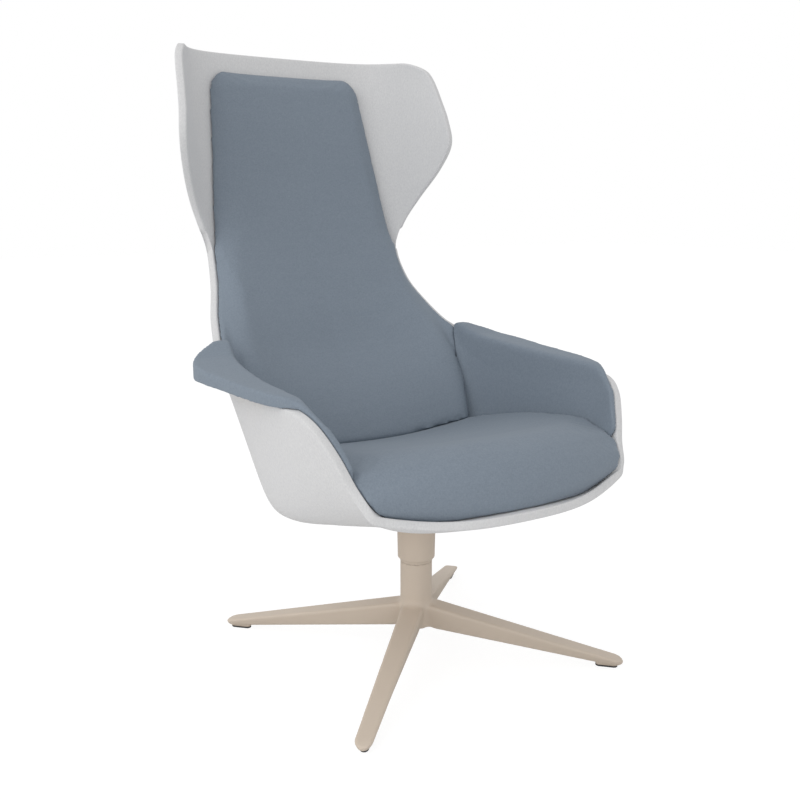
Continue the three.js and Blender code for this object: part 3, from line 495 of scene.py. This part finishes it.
padForm = {  # metres; tables of [station, share] or [station, metres], and stations
    "gap": 0.00095, "fit": 0.0005, "edge": 0.010, "rimShare": 0.997,
    # seat pad
    "seatRows": (1, 12, 89), "seatColumns": 30, "crown": 0.131, "crownFall": 2.3, "bulge": 0.020,
    "sideRise": 0.088, "tuckFrom": 2.5, "tuckRate": 2,
    "seatSide": [
        [1, 0.24], [2, 0.42], [3, 0.72], [3.5, 0.79], [4, 0.812], [4.5, 0.825], [5, 0.842], [6, 0.85],
        [6.5, 0.845], [7, 0.81], [7.5, 0.765], [8, 0.7], [8.5, 0.61], [9, 0.517], [9.5, 0.44], [10, 0.385],
        [10.5, 0.345], [11, 0.325], [12, 0.325],
    ],
    "seatTop": [
        [1, 0.13], [1.5, 0.27], [2, 0.41], [3, 0.665], [3.5, 0.75], [4, 0.788], [4.5, 0.797], [5, 0.787],
        [6, 0.758], [7, 0.732], [8, 0.71], [9, 0.67], [10, 0.622], [11, 0.54], [12, 0.4],
    ],
    "seatBulge": [[1, 0.1], [2, 0.5], [3, 0.8], [4, 0.8], [5, 0.4], [6, 0], [12, 0]],
    # back pad
    "backFrom": 11.4, "top": 23.25, "headSpan": 0.95, "backRows": (88, 16), "backColumns": 34,
    "backSpacing": 0.8, "split": 12, "tongueThin": 0.45, "tongueInside": 0.4,
    "lumbar": 0.076, "shoulder": 0.018, "sideFade": 0.12, "headFade": 0.45,
    "lumbarDepth": [
        [11.4, 0.54], [12, 0.68], [12.5, 0.81], [13, 0.91], [13.8, 1], [15, 1], [15.7, 0.96], [16.6, 0.81],
        [17.3, 0.67], [18.4, 0.54], [19.3, 0.47], [21, 0.43], [22.5, 0.36], [23.5, 0.27],
    ],
    "wallDepth": [
        [12, 0.16], [14, 0.18], [16, 0.22], [17, 0.32], [18, 0.44], [19, 0.52], [21, 0.58], [23, 0.62],
    ],
    "padCrown": [[14, 0], [16, 1]],
    "padOutline": [  # share of the rise, share of the half width
        [0.4, 0.9], [0.46, 0.73], [0.476, 0.708], [0.514, 0.68], [0.555, 0.669], [0.593, 0.659],
        [0.632, 0.648], [0.673, 0.638], [0.712, 0.624], [0.753, 0.614], [0.792, 0.603], [0.832, 0.593],
        [0.872, 0.579], [0.96, 0.56],
    ],
    "cornerRise": 0.055, "cornerWidth": 0.14, "topShare": 0.951,
    # arm pads
    "armFront": 3.4, "armRear": 11.93, "armEndSpan": 0.73, "armRows": (83, 14), "armColumns": 14,
    "armSplit": 3, "shoulderShare": 0.3, "notchShare": 0.5, "lowShare": 0.85,
    "skirtTuck": 0.2, "skirtFrom": 3, "skirtTo": 11.4, "skirtFade": 2, "skirtGap": 0.003,
    "armWall": 0.010, "armRise": 0.016, "armReach": 0.063, "armRearFrom": 11.3, "armRearDrop": 0.004,
    "armReachAt": [
        [5.6, 0], [6, 0.05], [6.5, 0.22], [7, 0.43], [7.5, 0.56], [8, 0.67], [8.5, 0.81], [9, 0.99],
        [9.5, 1.06], [9.75, 1.03], [10, 0.95], [10.25, 0.835], [10.5, 0.69], [10.75, 0.54], [11, 0.39],
        [11.25, 0.28], [11.5, 0.18], [11.75, 0.1], [12, 0.04],
    ],
    "armRiseAt": [
        [3.2, 0.2], [5.5, 0.26], [6, 0.5], [6.5, 0.85], [7, 0.95], [8, 1], [10, 1], [10.5, 1.15], [11, 1.25],
        [11.4, 1], [12, 0.5],
    ],
    "armOuterRise": [
        [6, 0], [7, 0.0013], [8, 0.0018], [9, -0.0005], [9.8, 0], [10.2, 0.002], [10.6, 0.004], [11, 0.004],
        [12, 0],
    ],
    "armEndDrop": [
        [5.6, 0], [7.5, 0], [8, 0.001], [9, 0.0055], [9.5, 0.0095], [10, 0.0113], [10.5, 0.0135],
        [10.8, 0.014], [11, 0.0125], [11.2, 0.01], [11.4, 0.0066], [11.6, 0.003], [11.93, 0],
    ],
    "armWallAt": [[3.2, 0.0072], [4.5, 0.010], [9.5, 0.010], [10.5, 0.012], [11.3, 0.0145], [12, 0.0155]],
}
scanShares = np.linspace(0.3, 1, 240)


def crossing(values, wanted):  # the share at which a rising row of values first passes a wanted one
    over = np.nonzero(values >= wanted)[0]
    if not len(over):
        return scanShares[-1]
    k = max(over[0], 1)
    t = (wanted - values[k - 1]) / (values[k] - values[k - 1])
    return scanShares[k - 1] + (scanShares[k] - scanShares[k - 1]) * min(max(t, 0), 1)


def seatShare(station):  # where the seat's top meets the side wall
    height = shellForm["lip"] + padForm["sideRise"] * along(padForm["seatSide"], station)
    heights = onShell(station, scanShares, padForm["armWall"] + padForm["fit"])[:, 2]
    return min(crossing(heights, height), padForm["rimShare"])


def skirtShare(station):  # where an arm pad's skirt ends, tucked under the seat's edge
    fade = padForm["skirtFade"]
    inside = max(min(1, (padForm["skirtTo"] - station) / fade, (station - padForm["skirtFrom"]) / fade), 0)
    return min(seatShare(station) - padForm["skirtTuck"] * inside, padForm["rimShare"])


def bothSides(half):
    return np.concatenate([half[:0:-1] * [-1, 1, 1], half])


def seatRow(station):
    columns, share, skirt = padForm["seatColumns"], seatShare(station), skirtShare(station)
    clear = padForm["armWall"] + padForm["fit"] - padForm["edge"]
    tuck = padForm["edge"] + clear * min(max((station - padForm["tuckFrom"]) * padForm["tuckRate"], 0), 1)
    floor = onShell(station, np.linspace(0, skirt, columns - 2), padForm["gap"])
    edge = onShell(station, share, tuck)[0]
    bottom = np.concatenate([floor, onShell(station, skirt, tuck), [edge]])
    forward = padForm["bulge"] * along(padForm["seatBulge"], station)
    peak = onShell(station, 0)[0] + [0, -forward, padForm["crown"] * along(padForm["seatTop"], station)]
    t = np.linspace(0, 1, columns)
    fall = t ** padForm["crownFall"]
    deep, high = peak[1] + (edge[1] - peak[1]) * t * t, peak[2] + (edge[2] - peak[2]) * fall
    top = np.stack([edge[0] * t, deep, high], 1)
    return bothSides(top), bothSides(bottom)


def padFace(station, shares, floorLift, wallLift):  # a row lifted off the spine and off the wall
    places, weights = rowControls(np.array([float(station)]))
    floor = (onShell(station, 0, floorLift) - onShell(station, 0))[0]
    wall = (onShell(station, 1, wallLift) - onShell(station, 1))[0]
    places = places + np.stack([floor, floor + wall, floor + wall, wall])[None]
    return sidePoint(np.repeat(places, len(shares), 0), np.repeat(weights, len(shares), 0), shares)


def padShare(station):  # half the back pad's width on a row, with rounded upper corners
    points = onShell(station, scanShares)
    rise = (points[:, 2] - shellForm["lip"]) / shellForm["rise"]
    into = np.clip((rise - padForm["topShare"] + padForm["cornerRise"]) / padForm["cornerRise"], 0, 1)
    width = along(padForm["padOutline"], rise) - padForm["cornerWidth"] * (1 - np.sqrt(1 - into ** 2))
    return min(crossing(points[:, 0] - width * shellForm["halfWidth"], 0), padForm["rimShare"])


def backRow(station):
    lumbar = padForm["lumbar"] * along(padForm["lumbarDepth"], station)
    wall = max(lumbar * along(padForm["wallDepth"], station), padForm["armWall"])
    t = np.linspace(0, 1, padForm["backColumns"]) ** padForm["backSpacing"]
    shares = t * padShare(station)
    base = onShell(station, shares, padForm["gap"])
    lift = padFace(station, shares, lumbar, wall) - base
    tongue = max(padForm["split"] - station, 0)
    size = np.linalg.norm(lift, axis=1) * (1 - tongue * padForm["tongueThin"])
    crown = lumbar + (padForm["shoulder"] - lumbar) * t ** 3
    size = size * (1 + (np.minimum(1, crown / size) - 1) * along(padForm["padCrown"], station))
    least = np.minimum(1, padForm["edge"] / size)
    fade = np.clip((t - 1 + padForm["sideFade"]) / padForm["sideFade"], 0, 1)
    head = 1 - (1 - min(max((padForm["top"] - station) / padForm["headFade"], 0), 1)) ** 2
    size = size * (least + (1 - least) * np.sqrt(np.clip(1 - fade ** 2, 0, 1) * head))
    lift = unit(lift) * size[:, None]
    inside = padForm["tongueInside"] if tongue > 0 else 0
    return bothSides(base + lift), bothSides(base + lift * inside)


def armCorners(station):  # the corners of an arm pad's section
    rim = onShell(station, 1)[0]
    inward = onShell(station, 1, 1)[0] - rim
    edge = unit(rim - onShell(station, 1 - 1 / shellForm["sideSteps"])[0])
    outward = unit(np.array([-inward[0], -inward[1], 0]))
    into = np.clip((station - padForm["armRearFrom"]) / (padForm["armRear"] - padForm["armRearFrom"]), 0, 1)
    rounding = math.sqrt(1 - into * into)
    reach = padForm["armReach"] * along(padForm["armReachAt"], station) * rounding
    rise = padForm["armRise"] * along(padForm["armRiseAt"], station) * rounding
    rise = max(rise + padForm["armRearDrop"] * (rounding - 1), padForm["fit"] * 2)
    over = rim + inward * padForm["fit"] + edge * padForm["fit"]
    rimOuter = over - inward * (min(reach, shellForm["wall"] + padForm["fit"]) + padForm["fit"])
    end = rim + outward * reach
    end[2] = rimOuter[2] - along(padForm["armEndDrop"], station)
    outer = end * [1, 1, 0] + [0, 0, rim[2] + rise + along(padForm["armOuterRise"], station) * rounding]
    return {
        "over": over, "rimOuter": rimOuter, "end": end, "outer": outer,
        "notch": rimOuter + (end - rimOuter) * padForm["notchShare"],
        "low": rimOuter + (end - rimOuter) * padForm["lowShare"],
        "top": onShell(station, 1, along(padForm["armWallAt"], station))[0] + [0, 0, rise],
    }


def spread(points):  # extra points along a bent line
    count = padForm["armSplit"]
    made = [a + (b - a) * k / count for a, b in zip(points, points[1:]) for k in range(count)]
    return np.array(made + [points[-1]])


def armRow(station):
    shares = np.linspace(skirtShare(station) + padForm["skirtGap"], 1, padForm["armColumns"])
    at = armCorners(station)
    inside = onShell(station, shares, padForm["gap"])
    face = onShell(station, shares, along(padForm["armWallAt"], station))
    shoulder = at["top"] - (at["top"] - face[-2]) * padForm["shoulderShare"]
    under = [*inside, *spread([at["over"], at["rimOuter"], at["notch"], at["low"]])]
    above = [*face[:-1], *spread([shoulder, at["top"], at["outer"], at["end"]])]
    return np.array(above), np.array(under)


def padSolid(name, rows):  # an upper and a lower sheet, sewn round their edge
    bm = bmesh.new()
    for which in (0, 1):
        sheet(bm, np.array([row[which] for row in rows]))
    bmesh.ops.bridge_loops(bm, edges=[edge for edge in bm.edges if edge.is_boundary])
    bmesh.ops.remove_doubles(bm, verts=bm.verts, dist=1e-5)
    bmesh.ops.recalc_face_normals(bm, faces=bm.faces)
    return asPiece(bm, name, "upholstery")


def closingRows(start, stop, span, counts):  # even stations that close up over the last span
    even, closing = counts
    last = stop - span * np.cos(np.linspace(0, math.pi / 2, closing)[1:])
    return np.concatenate([np.linspace(start, stop - span, even), last])


backStations = closingRows(padForm["backFrom"], padForm["top"], padForm["headSpan"], padForm["backRows"])
armStations = closingRows(padForm["armFront"], padForm["armRear"], padForm["armEndSpan"], padForm["armRows"])
seatPad = padSolid("seatPad", [seatRow(station) for station in np.linspace(*padForm["seatRows"])])
backPad = padSolid("backPad", [backRow(station) for station in backStations])
leftArmPad = padSolid("leftArmPad", [armRow(station) for station in armStations])
print("pad forms made")


# Pads: cut to each other, eased, and stuffed

padWork = {  # voxel, smoothing rounds, how far the stuffing may swell the cloth, how full the pad is
    "seatPad": {"voxel": 0.005, "ease": 2, "cap": 0.0035, "fill": 0.85, "pressure": 4.0, "frames": 14},
    "backPad": {"voxel": 0.005, "ease": 2, "cap": 0.004, "fill": 0.8, "pressure": 4.0, "frames": 14},
    "leftArmPad": {"voxel": 0.0024, "ease": 2, "cap": 0.0012, "fill": 0.9, "pressure": 2.0, "frames": 6},
    "seatRoom": 0.0004, "armRoom": 0.0005, "clear": 0.0004, "pinned": 0.003,
    "quality": 4, "mass": 0.3, "stretch": 18, "shear": 8, "bend": 0.6,
    "softEdges": [  # the line that is eased, its stations, how far from it, smoothing rounds
        ["top", (5.2, 11.9, 110), 0.019, 60], ["outer", (6.2, 11.9, 110), 0.007, 8],
    ],
}


def flipped(piece, name):  # the same piece for the sitter's right
    bm = bmesh.new()
    bm.from_mesh(piece.data)
    bmesh.ops.scale(bm, vec=(-1, 1, 1), verts=bm.verts)
    bmesh.ops.reverse_faces(bm, faces=bm.faces)
    return asPiece(bm, name, "upholstery")


def cutAway(piece, neighbour, room):  # what a neighbour takes, with a little room round it
    bm = bmesh.new()
    bm.from_mesh(neighbour.data)
    bmesh.ops.recalc_face_normals(bm, faces=bm.faces)
    bm.normal_update()
    for vert in bm.verts:
        vert.co += vert.normal * room
    tool = asPiece(bm, "cutTool", "upholstery")
    modifier(piece, "BOOLEAN", operation="DIFFERENCE", object=tool, solver="EXACT")
    applied(piece)
    bpy.data.objects.remove(tool)


def remeshed(piece, voxel, ease):
    modifier(piece, "REMESH", mode="VOXEL", voxel_size=voxel, use_smooth_shade=True)
    modifier(piece, "SMOOTH", iterations=ease, factor=0.5)
    applied(piece)


def softened(piece, line, reach, rounds):  # the edge along a line turned soft
    points = meshPoints(piece.data)
    away = np.min([np.linalg.norm(points - at, axis=1) for at in line], axis=0)
    weigh(piece, "edge", np.clip(1.6 * (1 - away / reach), 0, 1))
    modifier(piece, "SMOOTH", iterations=rounds, factor=0.5, vertex_group="edge")
    applied(piece)


def treeOf(piece):
    bm = bmesh.new()
    bm.from_mesh(piece.data)
    tree = BVHTree.FromBMesh(bm)
    bm.free()
    return tree


def simulated(piece, rest, work):  # where each point of the cloth goes under pressure, pinned on the shell
    copy = piece.copy()
    copy.data = piece.data.copy()
    scene.collection.objects.link(copy)
    held = [shellTree.find_nearest(Vector(point), padWork["pinned"])[0] is not None for point in rest]
    group = copy.vertex_groups.new(name="held")
    group.add([k for k, pinned in enumerate(held) if pinned], 1, "REPLACE")
    cloth = copy.modifiers.new("cloth", "CLOTH")
    settings = cloth.settings
    settings.quality, settings.mass = padWork["quality"], padWork["mass"]
    settings.use_pressure, settings.uniform_pressure_force = True, work["pressure"]
    settings.tension_stiffness = settings.compression_stiffness = padWork["stretch"]
    settings.shear_stiffness, settings.bending_stiffness = padWork["shear"], padWork["bend"]
    settings.vertex_group_mass = "held"
    settings.effector_weights.gravity = 0
    cloth.collision_settings.use_collision = cloth.collision_settings.use_self_collision = False
    cloth.point_cache.frame_start, cloth.point_cache.frame_end = 1, work["frames"]
    for number in range(1, work["frames"] + 1):
        scene.frame_set(number)
    graph = bpy.context.evaluated_depsgraph_get()
    move = meshPoints(copy.evaluated_get(graph).data) - rest
    scene.frame_set(1)
    bpy.data.objects.remove(copy)
    return move


def stuffed(piece, neighbours):  # cloth swelled over its filling, kept clear of the shell and its neighbours
    work = padWork[piece.name]
    rest, cap, clear = meshPoints(piece.data), work["cap"], padWork["clear"]
    move = simulated(piece, rest, work)
    size = np.linalg.norm(move, axis=1)
    move *= (np.where(size > 1e-9, cap * np.tanh(size / cap) / np.maximum(size, 1e-9), 0))[:, None]
    for factor in (0.5, 0.5, 0.5, 0):
        near = np.zeros(len(rest), bool)
        for tree in [shellTree] + [treeOf(neighbour) for neighbour in neighbours]:
            for k, point in enumerate(rest + move):
                found, normal, _, _ = tree.find_nearest(Vector(point), cap + clear)
                if found is not None and (Vector(point) - found).dot(normal) < clear / 2:
                    near[k] = True
        if not near.any():
            break
        move[near] *= factor
    for vert, place in zip(piece.data.vertices, rest + move):
        vert.co = place
    piece.data.update()


cutAway(backPad, seatPad, padWork["seatRoom"])
cutAway(backPad, leftArmPad, padWork["armRoom"])
mirrored = flipped(leftArmPad, "mirrored")
cutAway(backPad, mirrored, padWork["armRoom"])
bpy.data.objects.remove(mirrored)
for pad in (seatPad, backPad, leftArmPad):
    remeshed(pad, padWork[pad.name]["voxel"], padWork[pad.name]["ease"])
for corner, stations, reach, rounds in padWork["softEdges"]:
    line = [armCorners(station)[corner] + originShift for station in np.linspace(*stations)]
    softened(leftArmPad, line, reach, rounds)
shellTree = treeOf(feltShell)
stuffed(seatPad, [backPad])
stuffed(backPad, [seatPad])
stuffed(leftArmPad, [seatPad, backPad])
rightArmPad = flipped(leftArmPad, "rightArmPad")
padNodes = [
    (seatPad, "seat_cushion"), (backPad, "back_pad"),
    (leftArmPad, "left_arm_pad"), (rightArmPad, "right_arm_pad"),
]
for pad, node in padNodes:
    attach(pad, "seat")
    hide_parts(node)
print("pads stuffed")


# Arm boards

armBoardForm = {
    "stations": (7.5, 10.8, 12), "inset": 0.013, "clear": 0.0006, "thick": 0.002,
    "edge": 0.0005, "sharp": 0.8,
}


def bevelled(bm, sharp, width):
    edges = [edge for edge in bm.edges if edge.calc_face_angle(0) > sharp]
    bmesh.ops.bevel(bm, geom=edges, offset=width, segments=2, profile=0.5, affect="EDGES", material=-1)


def buildArmBoard(name, hand):  # the thin plywood strip that closes an arm pad from below
    form = armBoardForm
    rows = []
    for station in np.linspace(*form["stations"]):
        at = armCorners(station)
        reach = (at["end"] - at["rimOuter"]) * [1, 1, 0]
        out = unit(reach)
        ends = at["rimOuter"] + out * form["clear"], at["rimOuter"] + reach - out * form["inset"]
        rows.append([(end - [0, 0, form["clear"]]) * [hand, 1, 1] for end in ends])
    bm = bmesh.new()
    sheet(bm, np.array(rows))
    raised = onlyVerts(bmesh.ops.extrude_face_region(bm, geom=bm.faces[:])["geom"])
    bmesh.ops.translate(bm, vec=(0, 0, -form["thick"]), verts=raised)
    bmesh.ops.recalc_face_normals(bm, faces=bm.faces)
    bevelled(bm, form["sharp"], form["edge"])
    return asPiece(bm, name, "pad_board", smooth=False)


for name, hand, node in (("leftArmBoard", 1, "left_arm_board"), ("rightArmBoard", -1, "right_arm_board")):
    board = buildArmBoard(name, hand)
    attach(board, "seat")
    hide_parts(node)
print("arm boards made")


# Star base and sleeve

baseForm = {  # metres above the floor, and out from the swivel axis
    "reach": 0.368, "topAtHub": 0.0962, "topAtTip": 0.0177, "floorAtHub": 0.0477, "floorAtTip": 0.0045,
    "leastFloor": 0.0062, "halfAtHub": 0.022, "halfAtTip": 0.0165, "draft": 0.009,
    "upperRound": 0.0068, "lowerRound": 0.0042, "heightForRound": 0.45, "widthForRound": 0.9,
    "tipDrop": 0.3, "tipRise": 0.5, "tipAngle": 0.485 * math.pi, "tipSteps": 12,
    "legSteps": [0.04, 0.16, 0.3, 0.45, 0.6, 0.72, 0.84, 0.9, 0.94],
    "hub": [
        [0, 0.044], [0.027, 0.044], [0.0283, 0.046], [0.0283, 0.084], [0.0283, 0.096], [0.0283, 0.118],
        [0.0283, 0.1675], [0, 0.1675],
    ],
    "voxel": 0.0018, "ease": 2, "filletRounds": 150, "filletReach": 8,
    "creaseDepth": 0.09, "creaseSpread": 1.4,
    "trueAbove": 0.128, "trueBlend": 0.01, "sideSnap": 0.0016, "topSnap": 0.004,
    "footCircle": 0.340, "footHalf": 0.019, "footRadius": 0.0065, "footFloor": 0.0059, "footTop": 0.012,
    "footSteps": 12,
}
sleeveForm = {
    "foot": 0.0288, "footRise": 0.0008, "skirt": 0.0276, "skirtDrop": 0.0019, "shoulder": 0.033,
    "bevelRise": 0.0055, "radius": 0.0343, "bore": 0.020, "edge": 0.0005, "sharp": 0.35, "steps": 96,
}


def rounded(corners, radii, steps=5):  # an outline whose corners are turned into short curves
    made = []
    count = len(corners)
    for k, radius in enumerate(radii):
        corner, before, after = (np.array(corners[n % count], float) for n in (k, k - 1, k + 1))
        start = corner + unit(before - corner) * radius
        end = corner + unit(after - corner) * radius
        for t in np.linspace(0, 1, steps):
            made.append(start * (1 - t) ** 2 + corner * 2 * t * (1 - t) + end * t * t)
    return made


def legRing(reachShare, tipShare):
    form = baseForm

    def blend(hub, tip):
        return form[hub] + (form[tip] - form[hub]) * reachShare

    half = blend("halfAtHub", "halfAtTip") * tipShare
    crest, under = blend("topAtHub", "topAtTip"), max(blend("floorAtHub", "floorAtTip"), form["leastFloor"])
    top = crest - (crest - under) * (1 - tipShare) * form["tipDrop"]
    floor = under + (crest - under) * (1 - tipShare) * form["tipRise"]
    foot = half - form["draft"] * tipShare
    room = min((top - floor) * form["heightForRound"], foot * form["widthForRound"])
    upper, lower = min(form["upperRound"] * tipShare, room), min(form["lowerRound"] * tipShare, room)
    corners = [[-foot, floor], [foot, floor], [half, top], [-half, top]]
    outline = rounded(corners, [lower, lower, upper, upper])
    return [[form["reach"] * reachShare, across, height] for across, height in outline + outline[:1]]


def buildLeg(bm, turn):
    start = 1 - baseForm["halfAtTip"] / baseForm["reach"]
    angles = np.linspace(0, baseForm["tipAngle"], baseForm["tipSteps"])
    steps = [(share, 1) for share in baseForm["legSteps"]]
    steps += [(start + (1 - start) * math.sin(angle), math.cos(angle)) for angle in angles]
    verts = sheet(bm, np.array([legRing(*step) for step in steps]) - originShift)
    bmesh.ops.remove_doubles(bm, verts=verts, dist=1e-6)
    verts = [vert for vert in verts if vert.is_valid]
    rims = {edge for vert in verts for edge in vert.link_edges if edge.is_boundary}
    bmesh.ops.holes_fill(bm, edges=list(rims), sides=0)
    bmesh.ops.rotate(bm, cent=(0, 0, 0), matrix=Matrix.Rotation(turn, 3, "Z"), verts=verts)


def buildFoot(bm, turn):  # the raised pad under a leg that the glide is set into
    form = baseForm
    angles = np.linspace(-math.pi / 2, math.pi / 2, form["footSteps"])
    made = []
    for end in (1, -1):
        for angle in angles:
            out = form["footHalf"] - form["footRadius"] + form["footRadius"] * math.cos(angle)
            across = end * form["footRadius"] * math.sin(angle)
            made.append(bm.verts.new((form["footCircle"] + end * out, across, form["footFloor"])))
    raised = onlyVerts(bmesh.ops.extrude_face_region(bm, geom=[bm.faces.new(made)])["geom"])
    bmesh.ops.translate(bm, vec=(0, 0, form["footTop"] - form["footFloor"]), verts=raised)
    bmesh.ops.translate(bm, vec=(0, 0, -shellForm["floorDrop"]), verts=made + raised)
    bmesh.ops.rotate(bm, cent=(0, 0, 0), matrix=Matrix.Rotation(turn, 3, "Z"), verts=made + raised)


def spun(bm, profile, steps=72):  # a turned form, from [radius, height] points
    verts = [bm.verts.new((radius, 0, height)) for radius, height in profile]
    edges = [bm.edges.new(pair) for pair in zip(verts, verts[1:])]
    bmesh.ops.spin(
        bm, geom=verts + edges, cent=(0, 0, 0), axis=(0, 0, 1),
        angle=2 * math.pi, steps=steps, use_merge=True,
    )
    bmesh.ops.remove_doubles(bm, verts=bm.verts, dist=1e-6)


def creaseWeights(mesh):  # how close each point lies to an inside corner
    form, points = baseForm, meshPoints(mesh)
    pairs = np.zeros(len(mesh.edges) * 2, int)
    mesh.edges.foreach_get("vertices", pairs)
    a, b = pairs.reshape(-1, 2).T
    count = np.maximum(np.bincount(pairs, minlength=len(points)), 1)

    def around(values):
        return (np.bincount(a, values[b], len(points)) + np.bincount(b, values[a], len(points))) / count

    pull = np.stack([around(points[:, k]) for k in range(3)], 1) - points
    weight = np.clip((pull * meshPoints(mesh, "normal")).sum(1) / (form["voxel"] * form["creaseDepth"]), 0, 1)
    for _ in range(form["filletReach"]):
        weight = np.maximum(weight, around(weight) * form["creaseSpread"])
    return np.clip(weight, 0, 1)


def trueColumn(mesh):  # the column above the legs is drawn round and flat on top
    form = baseForm
    top, radius = form["hub"][-1][1], form["hub"][-2][0]
    for vert in mesh.vertices:
        out = math.hypot(vert.co.x, vert.co.y)
        true = min(max((vert.co.z - form["trueAbove"]) / form["trueBlend"], 0), 1)
        snap = form["topSnap"] if vert.co.z > top - form["topSnap"] else form["sideSnap"]
        if true > 0 and out > radius - snap:
            vert.co.x *= 1 + (radius / out - 1) * true
            vert.co.y *= 1 + (radius / out - 1) * true
        if vert.co.z > top - form["sideSnap"]:
            vert.co.z = top


def buildBase():
    form = baseForm
    turns = [(k + 0.5) * math.pi / 2 for k in range(4)]
    bm = bmesh.new()
    spun(bm, form["hub"])
    for turn in turns:
        buildLeg(bm, turn)
    bmesh.ops.recalc_face_normals(bm, faces=bm.faces)
    cast = asPiece(bm, "castBase", "frame_coat")
    modifier(cast, "REMESH", mode="VOXEL", voxel_size=form["voxel"], use_smooth_shade=True)
    applied(cast)
    weigh(cast, "fillet", creaseWeights(cast.data))
    modifier(cast, "SMOOTH", iterations=form["filletRounds"], factor=0.5, vertex_group="fillet")
    modifier(cast, "SMOOTH", iterations=form["ease"], factor=0.5)
    applied(cast)
    trueColumn(cast.data)
    bm = bmesh.new()
    bm.from_mesh(cast.data)
    bpy.data.objects.remove(cast)
    bmesh.ops.translate(bm, vec=(0, 0, -shellForm["floorDrop"]), verts=bm.verts)
    for turn in turns:
        buildFoot(bm, turn)
    bmesh.ops.translate(bm, vec=(0, axisY, 0), verts=bm.verts)
    return asPiece(bm, "starBase", "frame_coat")


def buildSleeve():
    low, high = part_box("swivel_sleeve")
    form = sleeveForm
    profile = [
        [form["bore"], low[2]], [form["skirt"], low[2]], [form["skirt"], low[2] - form["skirtDrop"]],
        [form["foot"], low[2] - form["skirtDrop"]], [form["foot"], low[2] + form["footRise"]],
        [form["shoulder"], low[2] + form["bevelRise"]], [form["radius"], high[2]], [form["bore"], high[2]],
    ]
    bm = bmesh.new()
    spun(bm, profile + profile[:1], form["steps"])
    bmesh.ops.recalc_face_normals(bm, faces=bm.faces)
    bmesh.ops.translate(bm, vec=(0, axisY, 0), verts=bm.verts)
    bevelled(bm, form["sharp"], form["edge"])
    return asPiece(bm, "swivelSleeve", "frame_coat")


starBase, swivelSleeve = buildBase(), buildSleeve()
for piece, body, node in ((starBase, "base", "star_base"), (swivelSleeve, "seat", "swivel_sleeve")):
    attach(piece, body)
    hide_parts(node)
print("base made")


# Camera, floor and lamps

studio = {
    "cameraPlace": (-0.8694, -1.4722, 0.7844), "cameraTurn": (78.5, 0, -31.6), "lens": 42.8, "sensor": 36,
    "nearest": 0.05, "aim": (0, 0, 0.5), "floorHalf": 14,
    "worldLevel": 0.76, "floorTone": 0.8, "floorShade": 0.2, "floorGlow": 0.88,
    "lamps": {  # place, size, power
        "sideLamp": ((-3.0, 0.0, 1.6), 2.4, 10.5),
        "frontLamp": ((-1.2, -2.6, 0.7), 1.6, 8.5),
        "upperLamp": ((-2.2, 0.3, 2.9), 2.2, 13),
        "lowLamp": ((-2.8, -0.4, 0.6), 1.6, 3.6),
    },
}


def buildCamera():
    camera = bpy.data.objects.new("studioCamera", bpy.data.cameras.new("studioCamera"))
    camera.location = studio["cameraPlace"]
    camera.rotation_euler = [math.radians(angle) for angle in studio["cameraTurn"]]
    camera.data.lens, camera.data.sensor_width = studio["lens"], studio["sensor"]
    camera.data.clip_start = studio["nearest"]
    scene.collection.objects.link(camera)
    scene.camera = camera


def buildLamp(name, place, size, power):
    lamp = bpy.data.lights.new(name, "AREA")
    lamp.shape, lamp.size, lamp.energy = "DISK", size, power
    holder = bpy.data.objects.new(name, lamp)
    holder.location = place
    holder.rotation_euler = (Vector(studio["aim"]) - Vector(place)).to_track_quat("-Z", "Y").to_euler()
    scene.collection.objects.link(holder)


def buildWorld():  # an even sky, pure white where the camera or a gloss sees it
    world = scene.world or bpy.data.worlds.new("studioWorld")
    scene.world = world
    world.use_nodes = True
    world.node_tree.nodes.clear()
    sky = Wiring(world.node_tree)
    direct = sky.node("ShaderNodeLightPath", output="Is Camera Ray")
    glossy = sky.node("ShaderNodeLightPath", output="Is Glossy Ray")
    seen = sky.node("ShaderNodeMath", {"operation": "ADD", "use_clamp": True}, {0: direct, 1: glossy})
    level = sky.node("ShaderNodeMix", inputs={0: seen, 2: studio["worldLevel"], 3: 1})
    light = sky.node("ShaderNodeBackground", inputs={"Color": (1, 1, 1, 1), "Strength": level})
    sky.node("ShaderNodeOutputWorld", inputs={"Surface": light})


def buildFloor():  # white in the camera's eye, with the chair's soft shadow kept
    tone, shade = studio["floorTone"], studio["floorShade"]
    paint = Finish("paleFloor", Base_Color=(tone, tone, tone, 1), Roughness=0.9, Specular_IOR_Level=0.1)
    slotMaterials["floor"] = paint.material
    seen = paint.node("ShaderNodeBsdfPrincipled", inputs={
        "Base Color": (shade, shade, shade, 1), "Roughness": 1, "Specular IOR Level": 0,
        "Emission Color": (1, 1, 1, 1), "Emission Strength": studio["floorGlow"],
    })
    direct = paint.node("ShaderNodeLightPath", output="Is Camera Ray")
    lit = Wire(paint, paint.shader.outputs[0])
    blend = paint.node("ShaderNodeMixShader", inputs={0: direct, 1: lit, 2: seen})
    paint.feed(paint.tree.nodes["Material Output"].inputs["Surface"], blend)
    bm = bmesh.new()
    bmesh.ops.create_grid(bm, x_segments=1, y_segments=1, size=studio["floorHalf"])
    floor = asPiece(bm, "paleFloor", "floor", smooth=False)


buildCamera()
for name, lamp in studio["lamps"].items():
    buildLamp(name, *lamp)
buildFloor()
buildWorld()
scene.view_settings.view_transform = "Standard"
print("studio ready")
